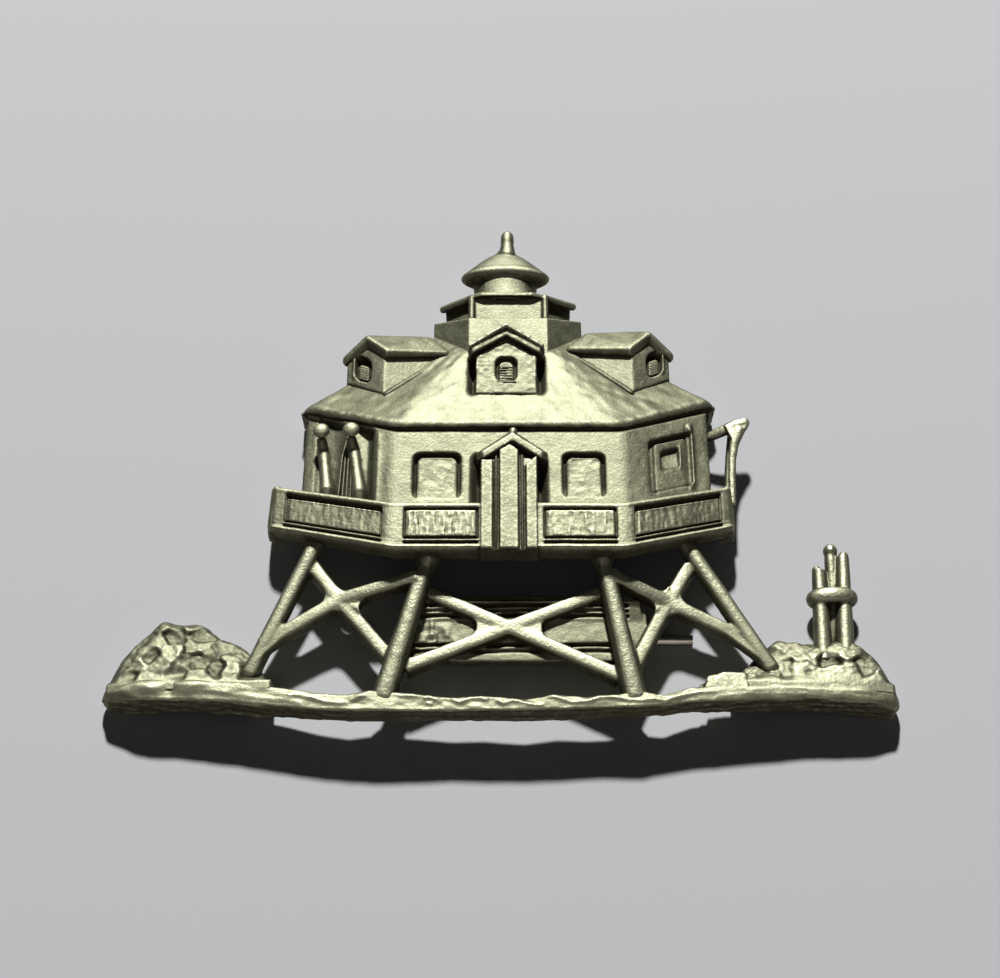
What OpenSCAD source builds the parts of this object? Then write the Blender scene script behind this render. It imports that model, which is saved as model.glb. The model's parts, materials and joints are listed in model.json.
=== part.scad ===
// Pewter brooch in the shape of a cottage lighthouse on splayed legs, lying on its back.
// X runs to the right, Y up the lighthouse, Z out of its face. Heights in the tables and
// sections below are measured from the lowest point of the shore, across from the middle
// of the brooch, and out from the surface it lies on. All sizes are millimetres.

/* [Brooch] */
// Width between the outer tips of the two rock heaps
brooch_w = 51.6; // [51:0.1:52.4]
// Height from the lowest point of the shore to the top of the finial
brooch_h = 40.1; // [39.9:0.1:40.6]
// Thickness of the cast shell behind the house, roof and tower
shell_t = 1.1; // [0.9:0.05:1.3]
// Offset of the lighthouse's centre line from the middle of the brooch
house_x = 0.55; // [0.3:0.05:0.8]

/* [House] */
// Half width of the flat front facet of the walls
front_half = 7.8; // [7.6:0.05:8]
// Reach of the left flank from the centre line
flank_left = 14.2; // [14:0.05:14.4]
// Reach of the right flank from the centre line
flank_right = 13.8; // [13.6:0.05:14]
// Height at which the front wall leaves the gallery
wall_low = 14.1; // [13.9:0.05:14.2]
// Height of the eave over the front wall
eave_y = 20.8; // [20.6:0.05:21]
// Height of the face of the front wall above the surface
wall_z = 4.3; // [4.2:0.05:4.4]
// How far an edge climbs on its way back along a flank
flank_rise = 2.9; // [2.7:0.05:3.1]
// How far the face falls back along a flank
flank_drop = 1.95; // [1.8:0.05:2.1]
// How deep the windows are sunk
window_sink = 0.35; // [0.25:0.05:0.5]

/* [Gallery] */
// Height of the lower edge of the gallery rail at the front
rail_low = 11.05; // [10.95:0.05:11.2]
// Height of the rail band
rail_h = 3.65; // [3.5:0.05:3.8]
// Height of the face of the rail above the surface
rail_z = 4.6; // [4.5:0.05:4.7]
// Reach of the rail's left end from the centre line
rail_left = 16.3; // [16:0.05:16.5]
// Reach of the rail's right end from the centre line
rail_right = 15.3; // [15.1:0.05:15.5]
// How deep the rail's panels are sunk
panel_sink = 0.18; // [0.1:0.02:0.24]

/* [Legs] */
// Diameter of an inner leg under its collar
leg_top_d = 1.1; // [1:0.05:1.3]
// Diameter of an inner leg at the shore
leg_foot_d = 1.5; // [1.3:0.05:1.7]
// Diameter of an outer leg
outer_leg_d = 1.15; // [1:0.05:1.3]
// Width of a cross brace
brace_w = 0.85; // [0.7:0.05:1]
// Thickness of a cross brace
brace_t = 1.0; // [0.8:0.05:1.1]

/* [Tower] */
// Radius of the lantern
lantern_r = 2.5; // [2.4:0.05:2.6]
// Radius of the lantern roof's rim
rim_r = 3.2; // [3.1:0.05:3.3]
// Depth of the round tower parts as a share of their radius
round_depth = 0.42; // [0.35:0.01:0.5]

/* [Pin] */
// Length of the pin's bar
pin_bar_l = 15; // [14:0.5:15.5]
// Diameter of the pin's stem
stem_d = 0.7; // [0.6:0.05:0.75]
// Gap between the pin's bar and the plate it is fixed to
seat_gap = 0.05; // [0.02:0.01:0.1]

/* [Hidden] */

PEWTER = [0.62, 0.61, 0.55];
PEWTER_DARK = [0.45, 0.44, 0.40];
PEWTER_BRIGHT = [0.74, 0.73, 0.66];

far_left = -brooch_w / 2;
far_right = brooch_w / 2;

// One edge of a storey: left end, front left corner, front right corner, right end
function edge(half, left, right, y, z, rise, drop) = [
    [-left, y + rise, z - drop],
    [-half, y, z],
    [half, y, z],
    [right, y + rise, z - drop]
];

wall_foot = edge(front_half, flank_left, flank_right, wall_low, wall_z,
                 flank_rise - 0.2, flank_drop);
wall_head = edge(front_half, flank_left - 0.1, flank_right, eave_y, wall_z,
                 flank_rise, flank_drop);
rail_foot = edge(front_half, rail_left, rail_right, rail_low, rail_z, flank_rise + 0.05, 2.2);
rail_head = edge(front_half, rail_left + 0.1, rail_right, rail_low + rail_h, rail_z,
                 flank_rise - 0.2, 2.2);
eave = edge(front_half - 0.05, flank_left + 0.4, flank_right + 0.6, eave_y, wall_z + 0.25,
            flank_rise + 0.05, flank_drop + 0.2);
roof_top = [[-5.4, 30.6, 1.7], [-2.95, 28.5, 2.9], [3.05, 28.5, 2.9], [5.3, 30.6, 1.7]];
eave_bead = 0.26;

// Sections of the shore strip. Columns: across, lower edge, upper edge, height of its face
ACROSS = 0;
LOW = 1;
HIGH = 2;
FACE = 3;
SHORE = [
    [far_left, 1.55, 2.10, 1.45],
    [-25.4, 1.35, 2.25, 1.90],
    [-23.4, 1.10, 2.55, 2.30],
    [-20.0, 1.00, 2.45, 2.45],
    [-16.8, 0.75, 2.20, 2.60],
    [-14.0, 0.40, 1.80, 2.70],
    [-11.6, 0.12, 1.35, 2.80],
    [-9.8, 0.05, 1.20, 2.90],
    [-8.4, 0.00, 1.50, 2.95],
    [-6.0, 0.00, 1.30, 2.90],
    [-3.2, 0.02, 1.00, 2.85],
    [-1.0, 0.05, 1.10, 2.90],
    [1.5, 0.05, 0.90, 2.90],
    [3.6, 0.12, 1.20, 2.90],
    [5.4, 0.20, 1.05, 2.85],
    [7.4, 0.25, 1.20, 2.90],
    [9.0, 0.30, 1.50, 2.90],
    [10.4, 0.45, 1.20, 2.80],
    [12.2, 0.70, 1.80, 2.75],
    [15.0, 0.85, 2.05, 2.65],
    [20.0, 1.15, 2.30, 2.45],
    [23.6, 0.90, 2.20, 2.30],
    [25.3, 0.75, 1.80, 2.00],
    [far_right, 1.00, 1.60, 1.50]
];
// How far the back of the strip lies behind its face, in the middle and at the ends
strip_t = 1.6;
strip_end_t = 2.2;

// Heaps of rock. Columns: across, height of the outline
LEFT_HEAP = [
    [-25.5, 3.1], [-24.6, 4.8], [-23.5, 6.3], [-22.3, 7.55], [-21.1, 7.2], [-19.7, 7.3],
    [-18.4, 6.3], [-17.1, 5.8], [-16.0, 4.7], [-14.9, 3.0]
];
RIGHT_HEAP = [
    [15.0, 3.1], [16.1, 4.2], [17.1, 5.1], [18.2, 6.15], [19.7, 5.9], [21.1, 5.9],
    [22.4, 6.15], [23.5, 5.8], [24.5, 4.7], [25.5, 2.9]
];
heap_columns = 16;
heap_rows = 7;

// Legs. Columns: top point, foot point, top diameter, foot diameter, has a collar
LEG_TOP = 0;
LEG_FOOT = 1;
LEG_TOP_D = 2;
LEG_FOOT_D = 3;
HAS_COLLAR = 4;
LEGS = [
    [[-12.6, 12.1, 2.2], [-16.25, 3.2, 1.8], outer_leg_d, outer_leg_d, false],
    [[-4.7, 11.5, 3.1], [-7.5, 1.2, 2.2], leg_top_d, leg_foot_d, true],
    [[6.7, 11.6, 3.1], [8.6, 1.2, 2.2], leg_top_d, leg_foot_d, true],
    [[12.65, 12.2, 2.2], [17.7, 3.2, 1.8], outer_leg_d, outer_leg_d, false]
];
collar_l = 1.5;
collar_d = 1.7;

// Crossed braces. Columns: crossing, ends of its four arms
CROSS_AT = 0;
CROSS_ENDS = 1;
CROSSES = [
    [[0.55, 6.3, 2.05],
     [[-4.9, 9.0, 2.1], [7.7, 2.8, 2.0], [-6.2, 3.4, 2.0], [6.6, 8.9, 2.1]]],
    [[-10.65, 8.45, 1.95],
     [[-12.9, 11.6, 1.9], [-7.7, 4.6, 1.9], [-15.6, 5.2, 1.7], [-5.8, 9.7, 2.4]]],
    [[11.05, 8.25, 1.95],
     [[12.6, 11.1, 1.9], [8.85, 3.7, 1.9], [7.2, 10.1, 2.4], [15.6, 5.9, 1.7]]]
];

// How far the webs of a crossing reach along its arms
web_l = 1.55;
// Webs between the outer legs and the braces that meet them above the shore
FOOT_WEBS = [
    [[-15.3, 5.55, 1.75], [-12.6, 7.2, 1.85], [-16.3, 3.5, 1.75]],
    [[15.3, 6.3, 1.75], [13.0, 7.3, 1.85], [17.4, 3.6, 1.75]]
];

// Back plate behind the middle braces
plate_low = 4.0;
plate_high = 8.9;
plate_left = -6.6;
plate_right = 9.6;
plate_z = 2.05;
plate_back = 1.25;
step_d = 0.22;

// A closed solid round a list of points
module solid_of(points) {
    hull() polyhedron(points = points, faces = [[for (i = [0:len(points) - 1]) i]]);
}

function behind(points, depth) = [for (p = points) [p.x, p.y, p.z - depth]];
function between(a, b, share) = a + (b - a) * share;

// A slab with the given face and the shell's thickness behind it
module slab(face, depth = shell_t) {
    solid_of(concat(face, behind(face, depth)));
}

// A round bar from a to b, with rounded ends
module rod(a, b, d1, d2, sides = 10) {
    hull() {
        translate(a) sphere(d = d1, $fn = sides);
        translate(b) sphere(d = d2, $fn = sides);
    }
}

// A round bar from a to b, with flat ends
module bar(a, b, d1, d2, sides = 10) {
    run = b - a;
    translate(a)
        rotate([0, acos(run.z / norm(run)), atan2(run.y, run.x)])
            cylinder(d1 = d1, d2 = d2, h = norm(run), $fn = sides);
}

// A round bar along the corners of a list
module rods(path, d, sides = 8) {
    for (i = [0:len(path) - 2])
        rod(path[i], path[i + 1], d, d, sides);
}

// A flat-backed bar with a rounded face, from a to b at mid depth
module brace(a, b) {
    dir = atan2(b.y - a.y, b.x - a.x);
    hull()
        for (p = [a, b])
            translate(p) rotate([0, 0, dir]) {
                translate([0, 0, -brace_t / 4])
                    cube([0.2, brace_w, brace_t / 2], center = true);
                translate([0, 0, brace_t / 2 - 0.15])
                    cube([0.2, brace_w * 0.7, 0.3], center = true);
            }
}

// The left (-1) or right (1) flank as a frame: x runs along the flank from its front
// corner, y up and z out of the face. low and high are edges of the storey
function on_flank(low, high, side, along, up) =
    let (i = side < 0 ? 1 : 2, j = side < 0 ? 0 : 3)
    between(between(low[i], low[j], along), between(high[i], high[j], along), up);

function flank_patch(low, high, side, along, up) = [
    on_flank(low, high, side, along[0], up[0]),
    on_flank(low, high, side, along[1], up[0]),
    on_flank(low, high, side, along[1], up[1]),
    on_flank(low, high, side, along[0], up[1])
];

function lifted(points, height) = behind(points, -height);

// A patch of one storey that goes from its face to a depth below and a height above
module block_on(patch, height, depth) {
    solid_of(concat(lifted(patch, height), behind(patch, depth)));
}

// The three facets between two edges, and the two walls that close their ends
module storey(low, high, depth = shell_t) {
    for (i = [0:2])
        slab([low[i], low[i + 1], high[i + 1], high[i]], depth);
}

module end_wall(low, high, side, floor_z, thick = 1) {
    p = side < 0 ? [low[0], high[0]] : [low[3], high[3]];
    solid_of([
        for (q = p) each [
            [q.x, q.y, q.z],
            [q.x - side * thick, q.y - 0.2, q.z],
            [q.x, q.y, floor_z],
            [q.x - side * thick, q.y - 0.2, floor_z]
        ]
    ]);
}

// Rounded rectangle standing up from z = 0
module rounded_block(w, h, depth, r = 0.35) {
    linear_extrude(depth)
        translate([r, r])
            offset(r = r, $fn = 16) square([w - 2 * r, h - 2 * r]);
}

// Six corners of the strip's section at one row of the table
function shore_section(row) =
    let (
        share = min(1, abs(row[ACROSS]) / far_right),
        depth = strip_t + (strip_end_t - strip_t) * pow(share, 3),
        back = max(0, row[FACE] - depth),
        soft = min(0.3, (row[HIGH] - row[LOW]) / 3)
    )
    [
        [row[ACROSS], row[LOW], row[FACE] - 0.12],
        [row[ACROSS], row[LOW] + 0.12, row[FACE]],
        [row[ACROSS], row[HIGH] - soft, row[FACE]],
        [row[ACROSS], row[HIGH], row[FACE] - soft],
        [row[ACROSS], row[HIGH], back],
        [row[ACROSS], row[LOW], back]
    ];

// Strip of shore that carries the legs, wavy along its upper edge
module shore() {
    rows = len(SHORE);
    n = 6;
    color(PEWTER_BRIGHT)
        polyhedron(
            points = [for (row = SHORE) each shore_section(row)],
            faces = concat(
                [[for (i = [n - 1:-1:0]) i]],
                [for (r = [0:rows - 2], i = [0:n - 1]) each
                    let (j = (i + 1) % n, at = r * n)
                    [[at + i, at + n + j, at + n + i], [at + i, at + j, at + n + j]]],
                [[for (i = [0:n - 1]) (rows - 1) * n + i]]
            )
        );
}

// Relief of a heap on a grid of uneven corners, closed down to the back
module heap(outline, face, seed) {
    foot = 1.75;
    nx = heap_columns;
    ny = heap_rows;
    left = outline[0].x;
    right = outline[len(outline) - 1].x;
    columns = [for (i = [0:nx - 1])
        let (x = left + (right - left) * i / (nx - 1)) [x, lookup(x, outline)]];
    shake = rands(-1, 1, 3 * nx * ny, seed);
    relief = [for (i = [0:nx - 1], j = [0:ny - 1])
        let (
            k = 3 * (i * ny + j),
            up = j / (ny - 1),
            side = i == 0 || i == nx - 1,
            cell = [(right - left) / (nx - 1), (columns[i].y - foot) / (ny - 1)]
        )
        [columns[i].x + (side ? 0 : 0.33 * cell.x * shake[k]),
         foot + (columns[i].y - foot) * up + (j == 0 ? 0 : 0.33 * cell.y * shake[k + 1]),
         face * (1 - 0.42 * up * up) * (side ? 0.62 : 1) * (j == ny - 1 ? 0.85 : 1)
             + (j == 0 ? -0.15 : 0.38 * shake[k + 2])]];
    back = [for (p = relief) [p.x, p.y, 0]];
    n = nx * ny;
    // Grid cells, cut along one diagonal or the other
    cells = [for (i = [0:nx - 2], j = [0:ny - 2]) each
        let (a = i * ny + j, b = a + ny, c = b + 1, d = a + 1)
        (i + j) % 2 == 0 ? [[a, d, c], [a, c, b]] : [[a, d, b], [b, d, c]]];
    rim = concat(
        [for (i = [0:nx - 1]) i * ny],
        [for (j = [1:ny - 1]) (nx - 1) * ny + j],
        [for (i = [nx - 2:-1:0]) i * ny + ny - 1],
        [for (j = [ny - 2:-1:1]) j]
    );
    m = len(rim);
    color(PEWTER)
        polyhedron(
            points = concat(relief, back),
            faces = concat(
                cells,
                [for (f = cells) [f[2] + n, f[1] + n, f[0] + n]],
                [for (k = [0:m - 1]) each
                    let (a = rim[k], b = rim[(k + 1) % m])
                    [[a, b, b + n], [a, b + n, a + n]]]
            )
        );
}

// Flat stone beside the foot of the right heap
module flat_stone() {
    color(PEWTER)
        slab([[12.3, 1.6, 2.75], [15.9, 1.6, 2.8], [15.5, 2.95, 2.6], [12.8, 3.0, 2.5]], 1.3);
}

module leg(row) {
    dir = (row[LEG_TOP] - row[LEG_FOOT]) / norm(row[LEG_TOP] - row[LEG_FOOT]);
    bar(row[LEG_FOOT], row[LEG_TOP], row[LEG_FOOT_D], row[LEG_TOP_D], 14);
    if (row[HAS_COLLAR])
        bar(row[LEG_TOP] - dir * collar_l, row[LEG_TOP] + dir * 0.3, row[LEG_TOP_D] - 0.1,
            collar_d, 12);
    bar(row[LEG_FOOT] - dir * 0.3, row[LEG_FOOT] + dir * 0.9, row[LEG_FOOT_D] + 0.5,
        row[LEG_FOOT_D] - 0.1, 12);
}

module legs() {
    color(PEWTER)
        for (row = LEGS)
            leg(row);
}

module braces() {
    color(PEWTER) {
        for (row = CROSSES) {
            for (end = row[CROSS_ENDS])
                brace(row[CROSS_AT], end);
            translate(row[CROSS_AT]) scale([1.3, 0.8, 0.62]) sphere(d = 1.9, $fn = 12);
            for (pair = [[0, 3], [3, 1], [1, 2], [2, 0]])
                web([row[CROSS_AT], reach(row, pair[0]), reach(row, pair[1])]);
        }
        for (corners = FOOT_WEBS)
            web(corners);
    }
}

// Point on an arm of a cross up to which the crossing is filled out
function reach(row, arm) =
    let (way = row[CROSS_ENDS][arm] - row[CROSS_AT])
    row[CROSS_AT] + way / norm(way) * web_l;

// Thin web between three points at mid depth
module web(corners) {
    solid_of(concat(lifted(corners, 0.36), behind(corners, 0.31)));
}

// Plain plate behind the middle braces, with shallow steps along it
module back_plate() {
    color(PEWTER_BRIGHT)
        difference() {
            translate([0, 0, plate_back])
                linear_extrude(plate_z - plate_back)
                    offset(r = 0.8, $fn = 16) offset(delta = -0.8)
                        polygon([
                            [plate_left, plate_low], [plate_left, plate_high - 0.5],
                            [-3.6, plate_high], [4.6, plate_high],
                            [plate_right, plate_high - 0.5], [plate_right, plate_low]
                        ]);
            for (y = [5.2, 7.3, 8.0])
                translate([plate_left - 1, y, plate_z - step_d])
                    cube([plate_right - plate_left + 2, 0.22, 1]);
        }
}

// Three mooring posts held by a ring, on the right heap
module mooring_posts() {
    color(PEWTER) {
        bar([21.25, 4.0, 1.2], [21.35, 11.25, 1.3], 1.15, 1.0, 10);
        bar([22.75, 4.0, 1.2], [23.05, 12.4, 1.25], 1.05, 0.9, 10);
        bar([22.05, 4.8, 0.95], [22.3, 12.75, 1.0], 0.95, 0.9, 10);
        translate([22.3, 12.75, 1.0]) sphere(d = 0.98, $fn = 12);
        translate([22.05, 9.1, 1.25])
            rotate([90, 0, 2])
                scale([1, 0.5, 1])
                    rotate_extrude($fn = 20)
                        translate([1.2, 0]) circle(d = 1.25, $fn = 8);
        translate([22.05, 9.1, 1.15])
            rotate([90, 0, 2])
                scale([1, 0.5, 1])
                    cylinder(r = 1.3, h = 0.7, center = true, $fn = 20);
    }
}

// A window sunk in the front wall, with a pane that stands back up in it
module front_window(left, low, w, h) {
    difference() {
        translate([left, low, wall_z - window_sink])
            rounded_block(w, h, 1);
        translate([left + 0.3, low - 0.5, wall_z - window_sink - 0.1])
            rounded_block(w - 0.6, h + 0.15, window_sink + 0.02);
    }
}

// A window sunk in a flank, between shares along and up the wall
module flank_window(side, along, up) {
    block_on(flank_patch(wall_foot, wall_head, side, along, up), 0.6, window_sink);
}

module walls() {
    color(PEWTER_BRIGHT)
        difference() {
            union() {
                storey(wall_foot, wall_head);
                end_wall(wall_foot, wall_head, -1, 0);
                end_wall(wall_foot, wall_head, 1, 0);
            }
            front_window(-6.45, 15.1, 3.2, 3.7);
            front_window(3.65, 15.2, 2.85, 3.6);
            flank_window(1, [0.31, 0.80], [0.16, 0.78]);
            flank_window(-1, [0.24, 0.97], [-0.2, 0.9]);
        }
    color(PEWTER) {
        // Inner pane of the right flank's window, sunk again in its middle
        difference() {
            block_on(flank_patch(wall_foot, wall_head, 1, [0.36, 0.74], [0.2, 0.72]), -0.12, 0.6);
            block_on(flank_patch(wall_foot, wall_head, 1, [0.45, 0.65], [0.4, 0.62]), 0.6, 0.4);
        }
        // Jamb on its far side
        block_on(flank_patch(wall_foot, wall_head, 1, [0.77, 0.85], [0.1, 0.82]), 0.14, 0.3);
    }
}

// Two ball-headed columns and a slatted door in the bay of the left flank
module porch() {
    color(PEWTER) {
        for (c = [[-12.9, 21.2, 3.25, -12.35, 16.9, 2.85], [-10.8, 20.9, 3.75, -10.1, 16.2, 3.45]]) {
            ball = [c[0], c[1], c[2]];
            foot = [c[3], c[4], c[5]];
            neck = between(ball, foot, 0.45) - [0.1, 0, 0.5];
            translate(ball) sphere(d = 1.0, $fn = 12);
            rod(ball - [0.02, 0.33, 0.13], neck, 0.74, 0.6, 8);
            rod(neck, foot, 0.6, 1.0, 8);
            rod(foot, foot - [-0.05, 1.4, 0.15], 1.0, 1.05, 8);
        }
        block_on(flank_patch(wall_foot, wall_head, -1, [0.45, 0.58], [0, 0.86]), -0.05, 0.5);
        for (s = [0.42, 0.52, 0.62])
            rod(on_flank(wall_foot, wall_head, -1, s, 0.0), on_flank(wall_foot, wall_head, -1, s, 0.86),
                0.28, 0.28, 6);
        rod(on_flank(wall_foot, wall_head, -1, 0.97, 0), on_flank(wall_foot, wall_head, -1, 0.97, 0.9),
            0.55, 0.55, 6);
    }
}

// Window bay of the rail: a sunk panel with a groove under it
module rail_panel(patch_of, along) {
    block_on(patch_of(along, [0.29, 0.83]), 0.6, panel_sink);
    block_on(patch_of(along, [0.17, 0.215]), 0.6, panel_sink);
}

function front_patch(low, high, x, up) = [
    [x[0], between(low[1].y, high[1].y, up[0]), low[1].z],
    [x[1], between(low[1].y, high[1].y, up[0]), low[1].z],
    [x[1], between(low[1].y, high[1].y, up[1]), low[1].z],
    [x[0], between(low[1].y, high[1].y, up[1]), low[1].z]
];

module rail() {
    color(PEWTER_BRIGHT)
        difference() {
            union() {
                storey(rail_foot, rail_head);
                end_wall(rail_foot, rail_head, -1, 0.8);
                end_wall(rail_foot, rail_head, 1, 0.8);
                rods(lifted(rail_foot, -0.25) + [for (i = [0:3]) [0, 0.28, 0]], 0.7);
                rods(lifted(rail_head, -0.2) - [for (i = [0:3]) [0, 0.2, 0]], 0.5);
            }
            rail_panel(function (x, up) front_patch(rail_foot, rail_head, x, up), [-6.95, -2.1]);
            rail_panel(function (x, up) front_patch(rail_foot, rail_head, x, up), [2.4, 7.15]);
            for (side = [-1, 1])
                rail_panel(function (s, up) flank_patch(rail_foot, rail_head, side, s, up),
                           [0.08, 0.86]);
        }
    color(PEWTER) {
        // Posts at the corners and the ends
        for (i = [0:3])
            rod(rail_foot[i] + [i == 0 ? 0.35 : i == 3 ? -0.3 : 0, 0.4, -0.28],
                rail_head[i] + [i == 0 ? 0.35 : i == 3 ? -0.3 : 0, -0.2, -0.28], 0.85, 0.8);
    }
}

// Gabled bay of the front door, with two posts and two ribs
module door_bay() {
    mid = 0.25;
    bay_z = 5.1;
    low = rail_low - 0.25;
    color(PEWTER_BRIGHT) {
        for (post = [[-2.15, -1.3, 17.6], [0.85, 1.7, 17.6], [-0.9, 0.4, 18.9]])
            translate([mid + post[0], low, wall_z - 1])
                cube([post[1] - post[0], post[2] - low, bay_z - wall_z + 1]);
        for (x = [-1.1, 0.62])
            rod([mid + x, low + 0.3, bay_z - 0.25], [mid + x, 18.0, bay_z - 0.25], 0.3, 0.3, 8);
        translate([mid - 2.1, low, wall_z - 1]) cube([3.75, 7.2, bay_z - wall_z + 0.55]);
        // Gable roof: two sloping bars with a small knob at their ridge
        for (side = [-1, 1])
            hull() {
                translate([mid, 19.75, wall_z - 0.6]) cylinder(d = 0.75, h = 1.65, $fn = 12);
                translate([mid + side * 2.3, 18.0, wall_z - 0.6]) cylinder(d = 0.7, h = 1.5, $fn = 12);
            }
        slab([[mid - 2.0, 17.6, bay_z - 0.15], [mid + 2.0, 17.6, bay_z - 0.15],
              [mid, 19.6, bay_z - 0.15]], 1);
        translate([mid + 0.05, 20.15, wall_z]) sphere(d = 0.9, $fn = 12);
    }
}

// Boat davit at the right end: an arm, its upright and a thin strut
module davit() {
    color(PEWTER) {
        rod([13.4, 21.9, 2.2], [16.5, 22.55, 2.5], 0.75, 0.8, 10);
        rod([16.5, 22.55, 2.5], [15.55, 21.1, 2.4], 0.7, 0.55, 8);
        rod([16.1, 22.0, 2.45], [15.05, 16.6, 2.0], 0.7, 0.5, 8);
        rod([15.15, 21.4, 1.9], [14.65, 16.6, 1.7], 0.42, 0.32, 8);
    }
}

module roof() {
    color(PEWTER_BRIGHT) {
        storey(eave, roof_top);
        rods(lifted(eave, -0.2), 2 * eave_bead);
        // Sides that close the shell from the eave's ends up to the tower
        for (e = [[0, 1], [3, -1]])
            solid_of([
                for (q = [eave[e[0]], roof_top[e[0]]]) each [
                    [q.x, q.y, q.z - 0.3],
                    [q.x + e[1] * 0.6, q.y - 0.9, q.z - 0.3],
                    [q.x + e[1] * 0.1, q.y, 0],
                    [q.x + e[1] * 0.7, q.y - 0.9, 0]
                ]
            ]);
    }
}

// A gable roof: two slopes from the eaves up to the ridge, which runs back to back_peak
module dormer_roof(left, right, peak, back_left, back_right, back_peak, d) {
    for (side = [[left, back_left], [right, back_right]])
        hull() {
            translate(side[0]) sphere(d = d, $fn = 10);
            translate(peak) sphere(d = d, $fn = 10);
            translate(side[1]) sphere(d = d * 0.7, $fn = 8);
            translate(back_peak) sphere(d = d * 0.7, $fn = 8);
        }
}

module arched_block(w, h, depth) {
    linear_extrude(depth)
        union() {
            square([w, h - w * 0.3]);
            translate([w / 2, h - w * 0.3]) scale([1, 0.6]) circle(d = w, $fn = 16);
        }
}

module front_dormer() {
    mid = -0.15;
    half = 2.25;
    face_z = 4.0;
    low = 24.0;
    head = 27.2;
    color(PEWTER_BRIGHT)
        difference() {
            solid_of([
                for (z = [face_z, 2.0]) each [
                    [mid - half, low, z], [mid + half, low, z],
                    [mid + half, head, z], [mid, head + 1.6, z], [mid - half, head, z]
                ]
            ]);
            translate([mid - 0.78, 25.05, face_z - 0.3]) arched_block(1.56, 2.35, 1);
        }
    color(PEWTER) {
        translate([mid - 0.5, 25.05, face_z - 0.6]) arched_block(1.0, 1.75, 0.48);
        dormer_roof([mid - 2.6, 27.6, 3.95], [mid + 2.6, 27.6, 3.95], [mid, 29.35, 4.0],
                    [mid - 2.6, 28.2, 2.6], [mid + 2.6, 28.2, 2.6], [mid, 30.2, 2.6], 0.7);
    }
}

// The side dormers. side is -1 on the left and 1 on the right; lift raises the right one
module side_dormer(side, lift) {
    outer = [side * 11.4, 26.1 + lift, 2.35];
    inner = [side * 8.7, 24.5 + lift / 2, 3.3];
    outer_head = outer + [0, 1.85, 0];
    inner_head = inner + [0, 3.2, 0];
    peak = [side * 10.05, 29.35 + lift, 2.85];
    back_peak = [side * 5.6, 29.7 + lift, 2.35];
    back_foot = [side * 4.4, 28.3 + lift, 2.5];
    face = [outer, inner, inner_head, outer_head];
    mid_low = between(outer, inner, 0.5);
    mid_high = between(outer_head, inner_head, 0.5);
    color(PEWTER_BRIGHT)
        difference() {
            solid_of(concat(face, behind(face, 1.4), [peak, peak - [0, 0, 1.4], back_peak,
                     back_foot, back_peak - [0, 0, 1], back_foot - [0, 0, 1]]));
            // Window sunk in the face
            block_on([
                between(mid_low, outer, 0.52) + [0, 0.35, 0],
                between(mid_low, inner, 0.42) + [0, 0.35, 0],
                between(mid_high, inner_head, 0.42) + [0, 0.3, 0],
                between(mid_high, outer_head, 0.52) + [0, 0.3, 0]
            ], 0.6, 0.3);
        }
    color(PEWTER) {
        block_on([
            between(mid_low, outer, 0.26) + [0, 0.4, 0],
            between(mid_low, inner, 0.22) + [0, 0.4, 0],
            between(mid_high, inner_head, 0.22) + [0, -0.2, 0],
            between(mid_high, outer_head, 0.26) + [0, -0.2, 0]
        ], -0.1, 0.5);
        dormer_roof([side * 11.53, 28.13 + lift, 2.22], [side * 8.55, 27.95 + lift / 2, 3.35], peak,
                    [side * 11.0, 28.9 + lift, 1.4], [side * 4.3, 28.4 + lift, 2.55], back_peak, 0.62);
        // Cheek that closes the shell behind the outer corner
        solid_of(concat([outer, outer_head], [for (p = [outer, outer_head]) [p.x, p.y, 0]],
                 [for (p = [outer, outer_head]) [p.x - side, p.y, 0]],
                 [for (p = [outer, outer_head]) [p.x - side, p.y, 1.2]]));
    }
}

module tower() {
    drum_low = [[-5.35, 29.6, 1.6], [-2.8, 28.0, 2.95], [2.8, 28.0, 2.95], [5.3, 29.6, 1.6]];
    drum_head = [[-5.35, 31.9, 1.6], [-2.8, 31.4, 2.95], [2.8, 31.4, 2.95], [5.3, 32.1, 1.6]];
    room_head = [[-2.6, 33.35, 2.8], [2.6, 33.35, 2.8]];
    back = 0.4;
    color(PEWTER_BRIGHT) {
        // Lower drum, closed down to the back
        for (i = [0:2])
            solid_of([for (q = [drum_low[i], drum_low[i + 1], drum_head[i + 1], drum_head[i]]) each
                      [q, [q.x, q.y, back]]]);
        rods([for (q = drum_head) q - [0, 0.05, 0.12]], 0.3);
        // Watch room and its two corner posts
        solid_of([for (q = concat([[-2.55, 31.2, 2.72], [2.55, 31.2, 2.72]], room_head)) each
                  [q - [0, 0, 0.1], [q.x, q.y, back]]]);
        for (x = [-2.62, 2.66])
            rod([x, 31.3, 2.6], [x, 33.55, 2.6], 0.5, 0.5, 8);
    }
    color(PEWTER) {
        // Side stretches of the gallery round the watch room
        for (side = [-1, 1], lift = side < 0 ? 0 : 0.25)
            solid_of([
                [side * 2.5, 31.8, 2.1], [side * 2.5, 33.6, 2.1],
                [side * 4.5, 32.45 + lift, 1.1], [side * 4.55, 33.3 + lift, 1.1],
                [side * 2.5, 31.8, back], [side * 2.5, 33.6, back],
                [side * 4.5, 32.45 + lift, back], [side * 4.5, 33.3 + lift, back]
            ]);
        for (side = [-1, 1], lift = side < 0 ? 0 : 0.25)
            rod([side * 2.63, 33.54, 2.4], [side * 4.72, 33.3 + lift, 1.4], 0.62, 0.55, 8);
    }
}

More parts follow.
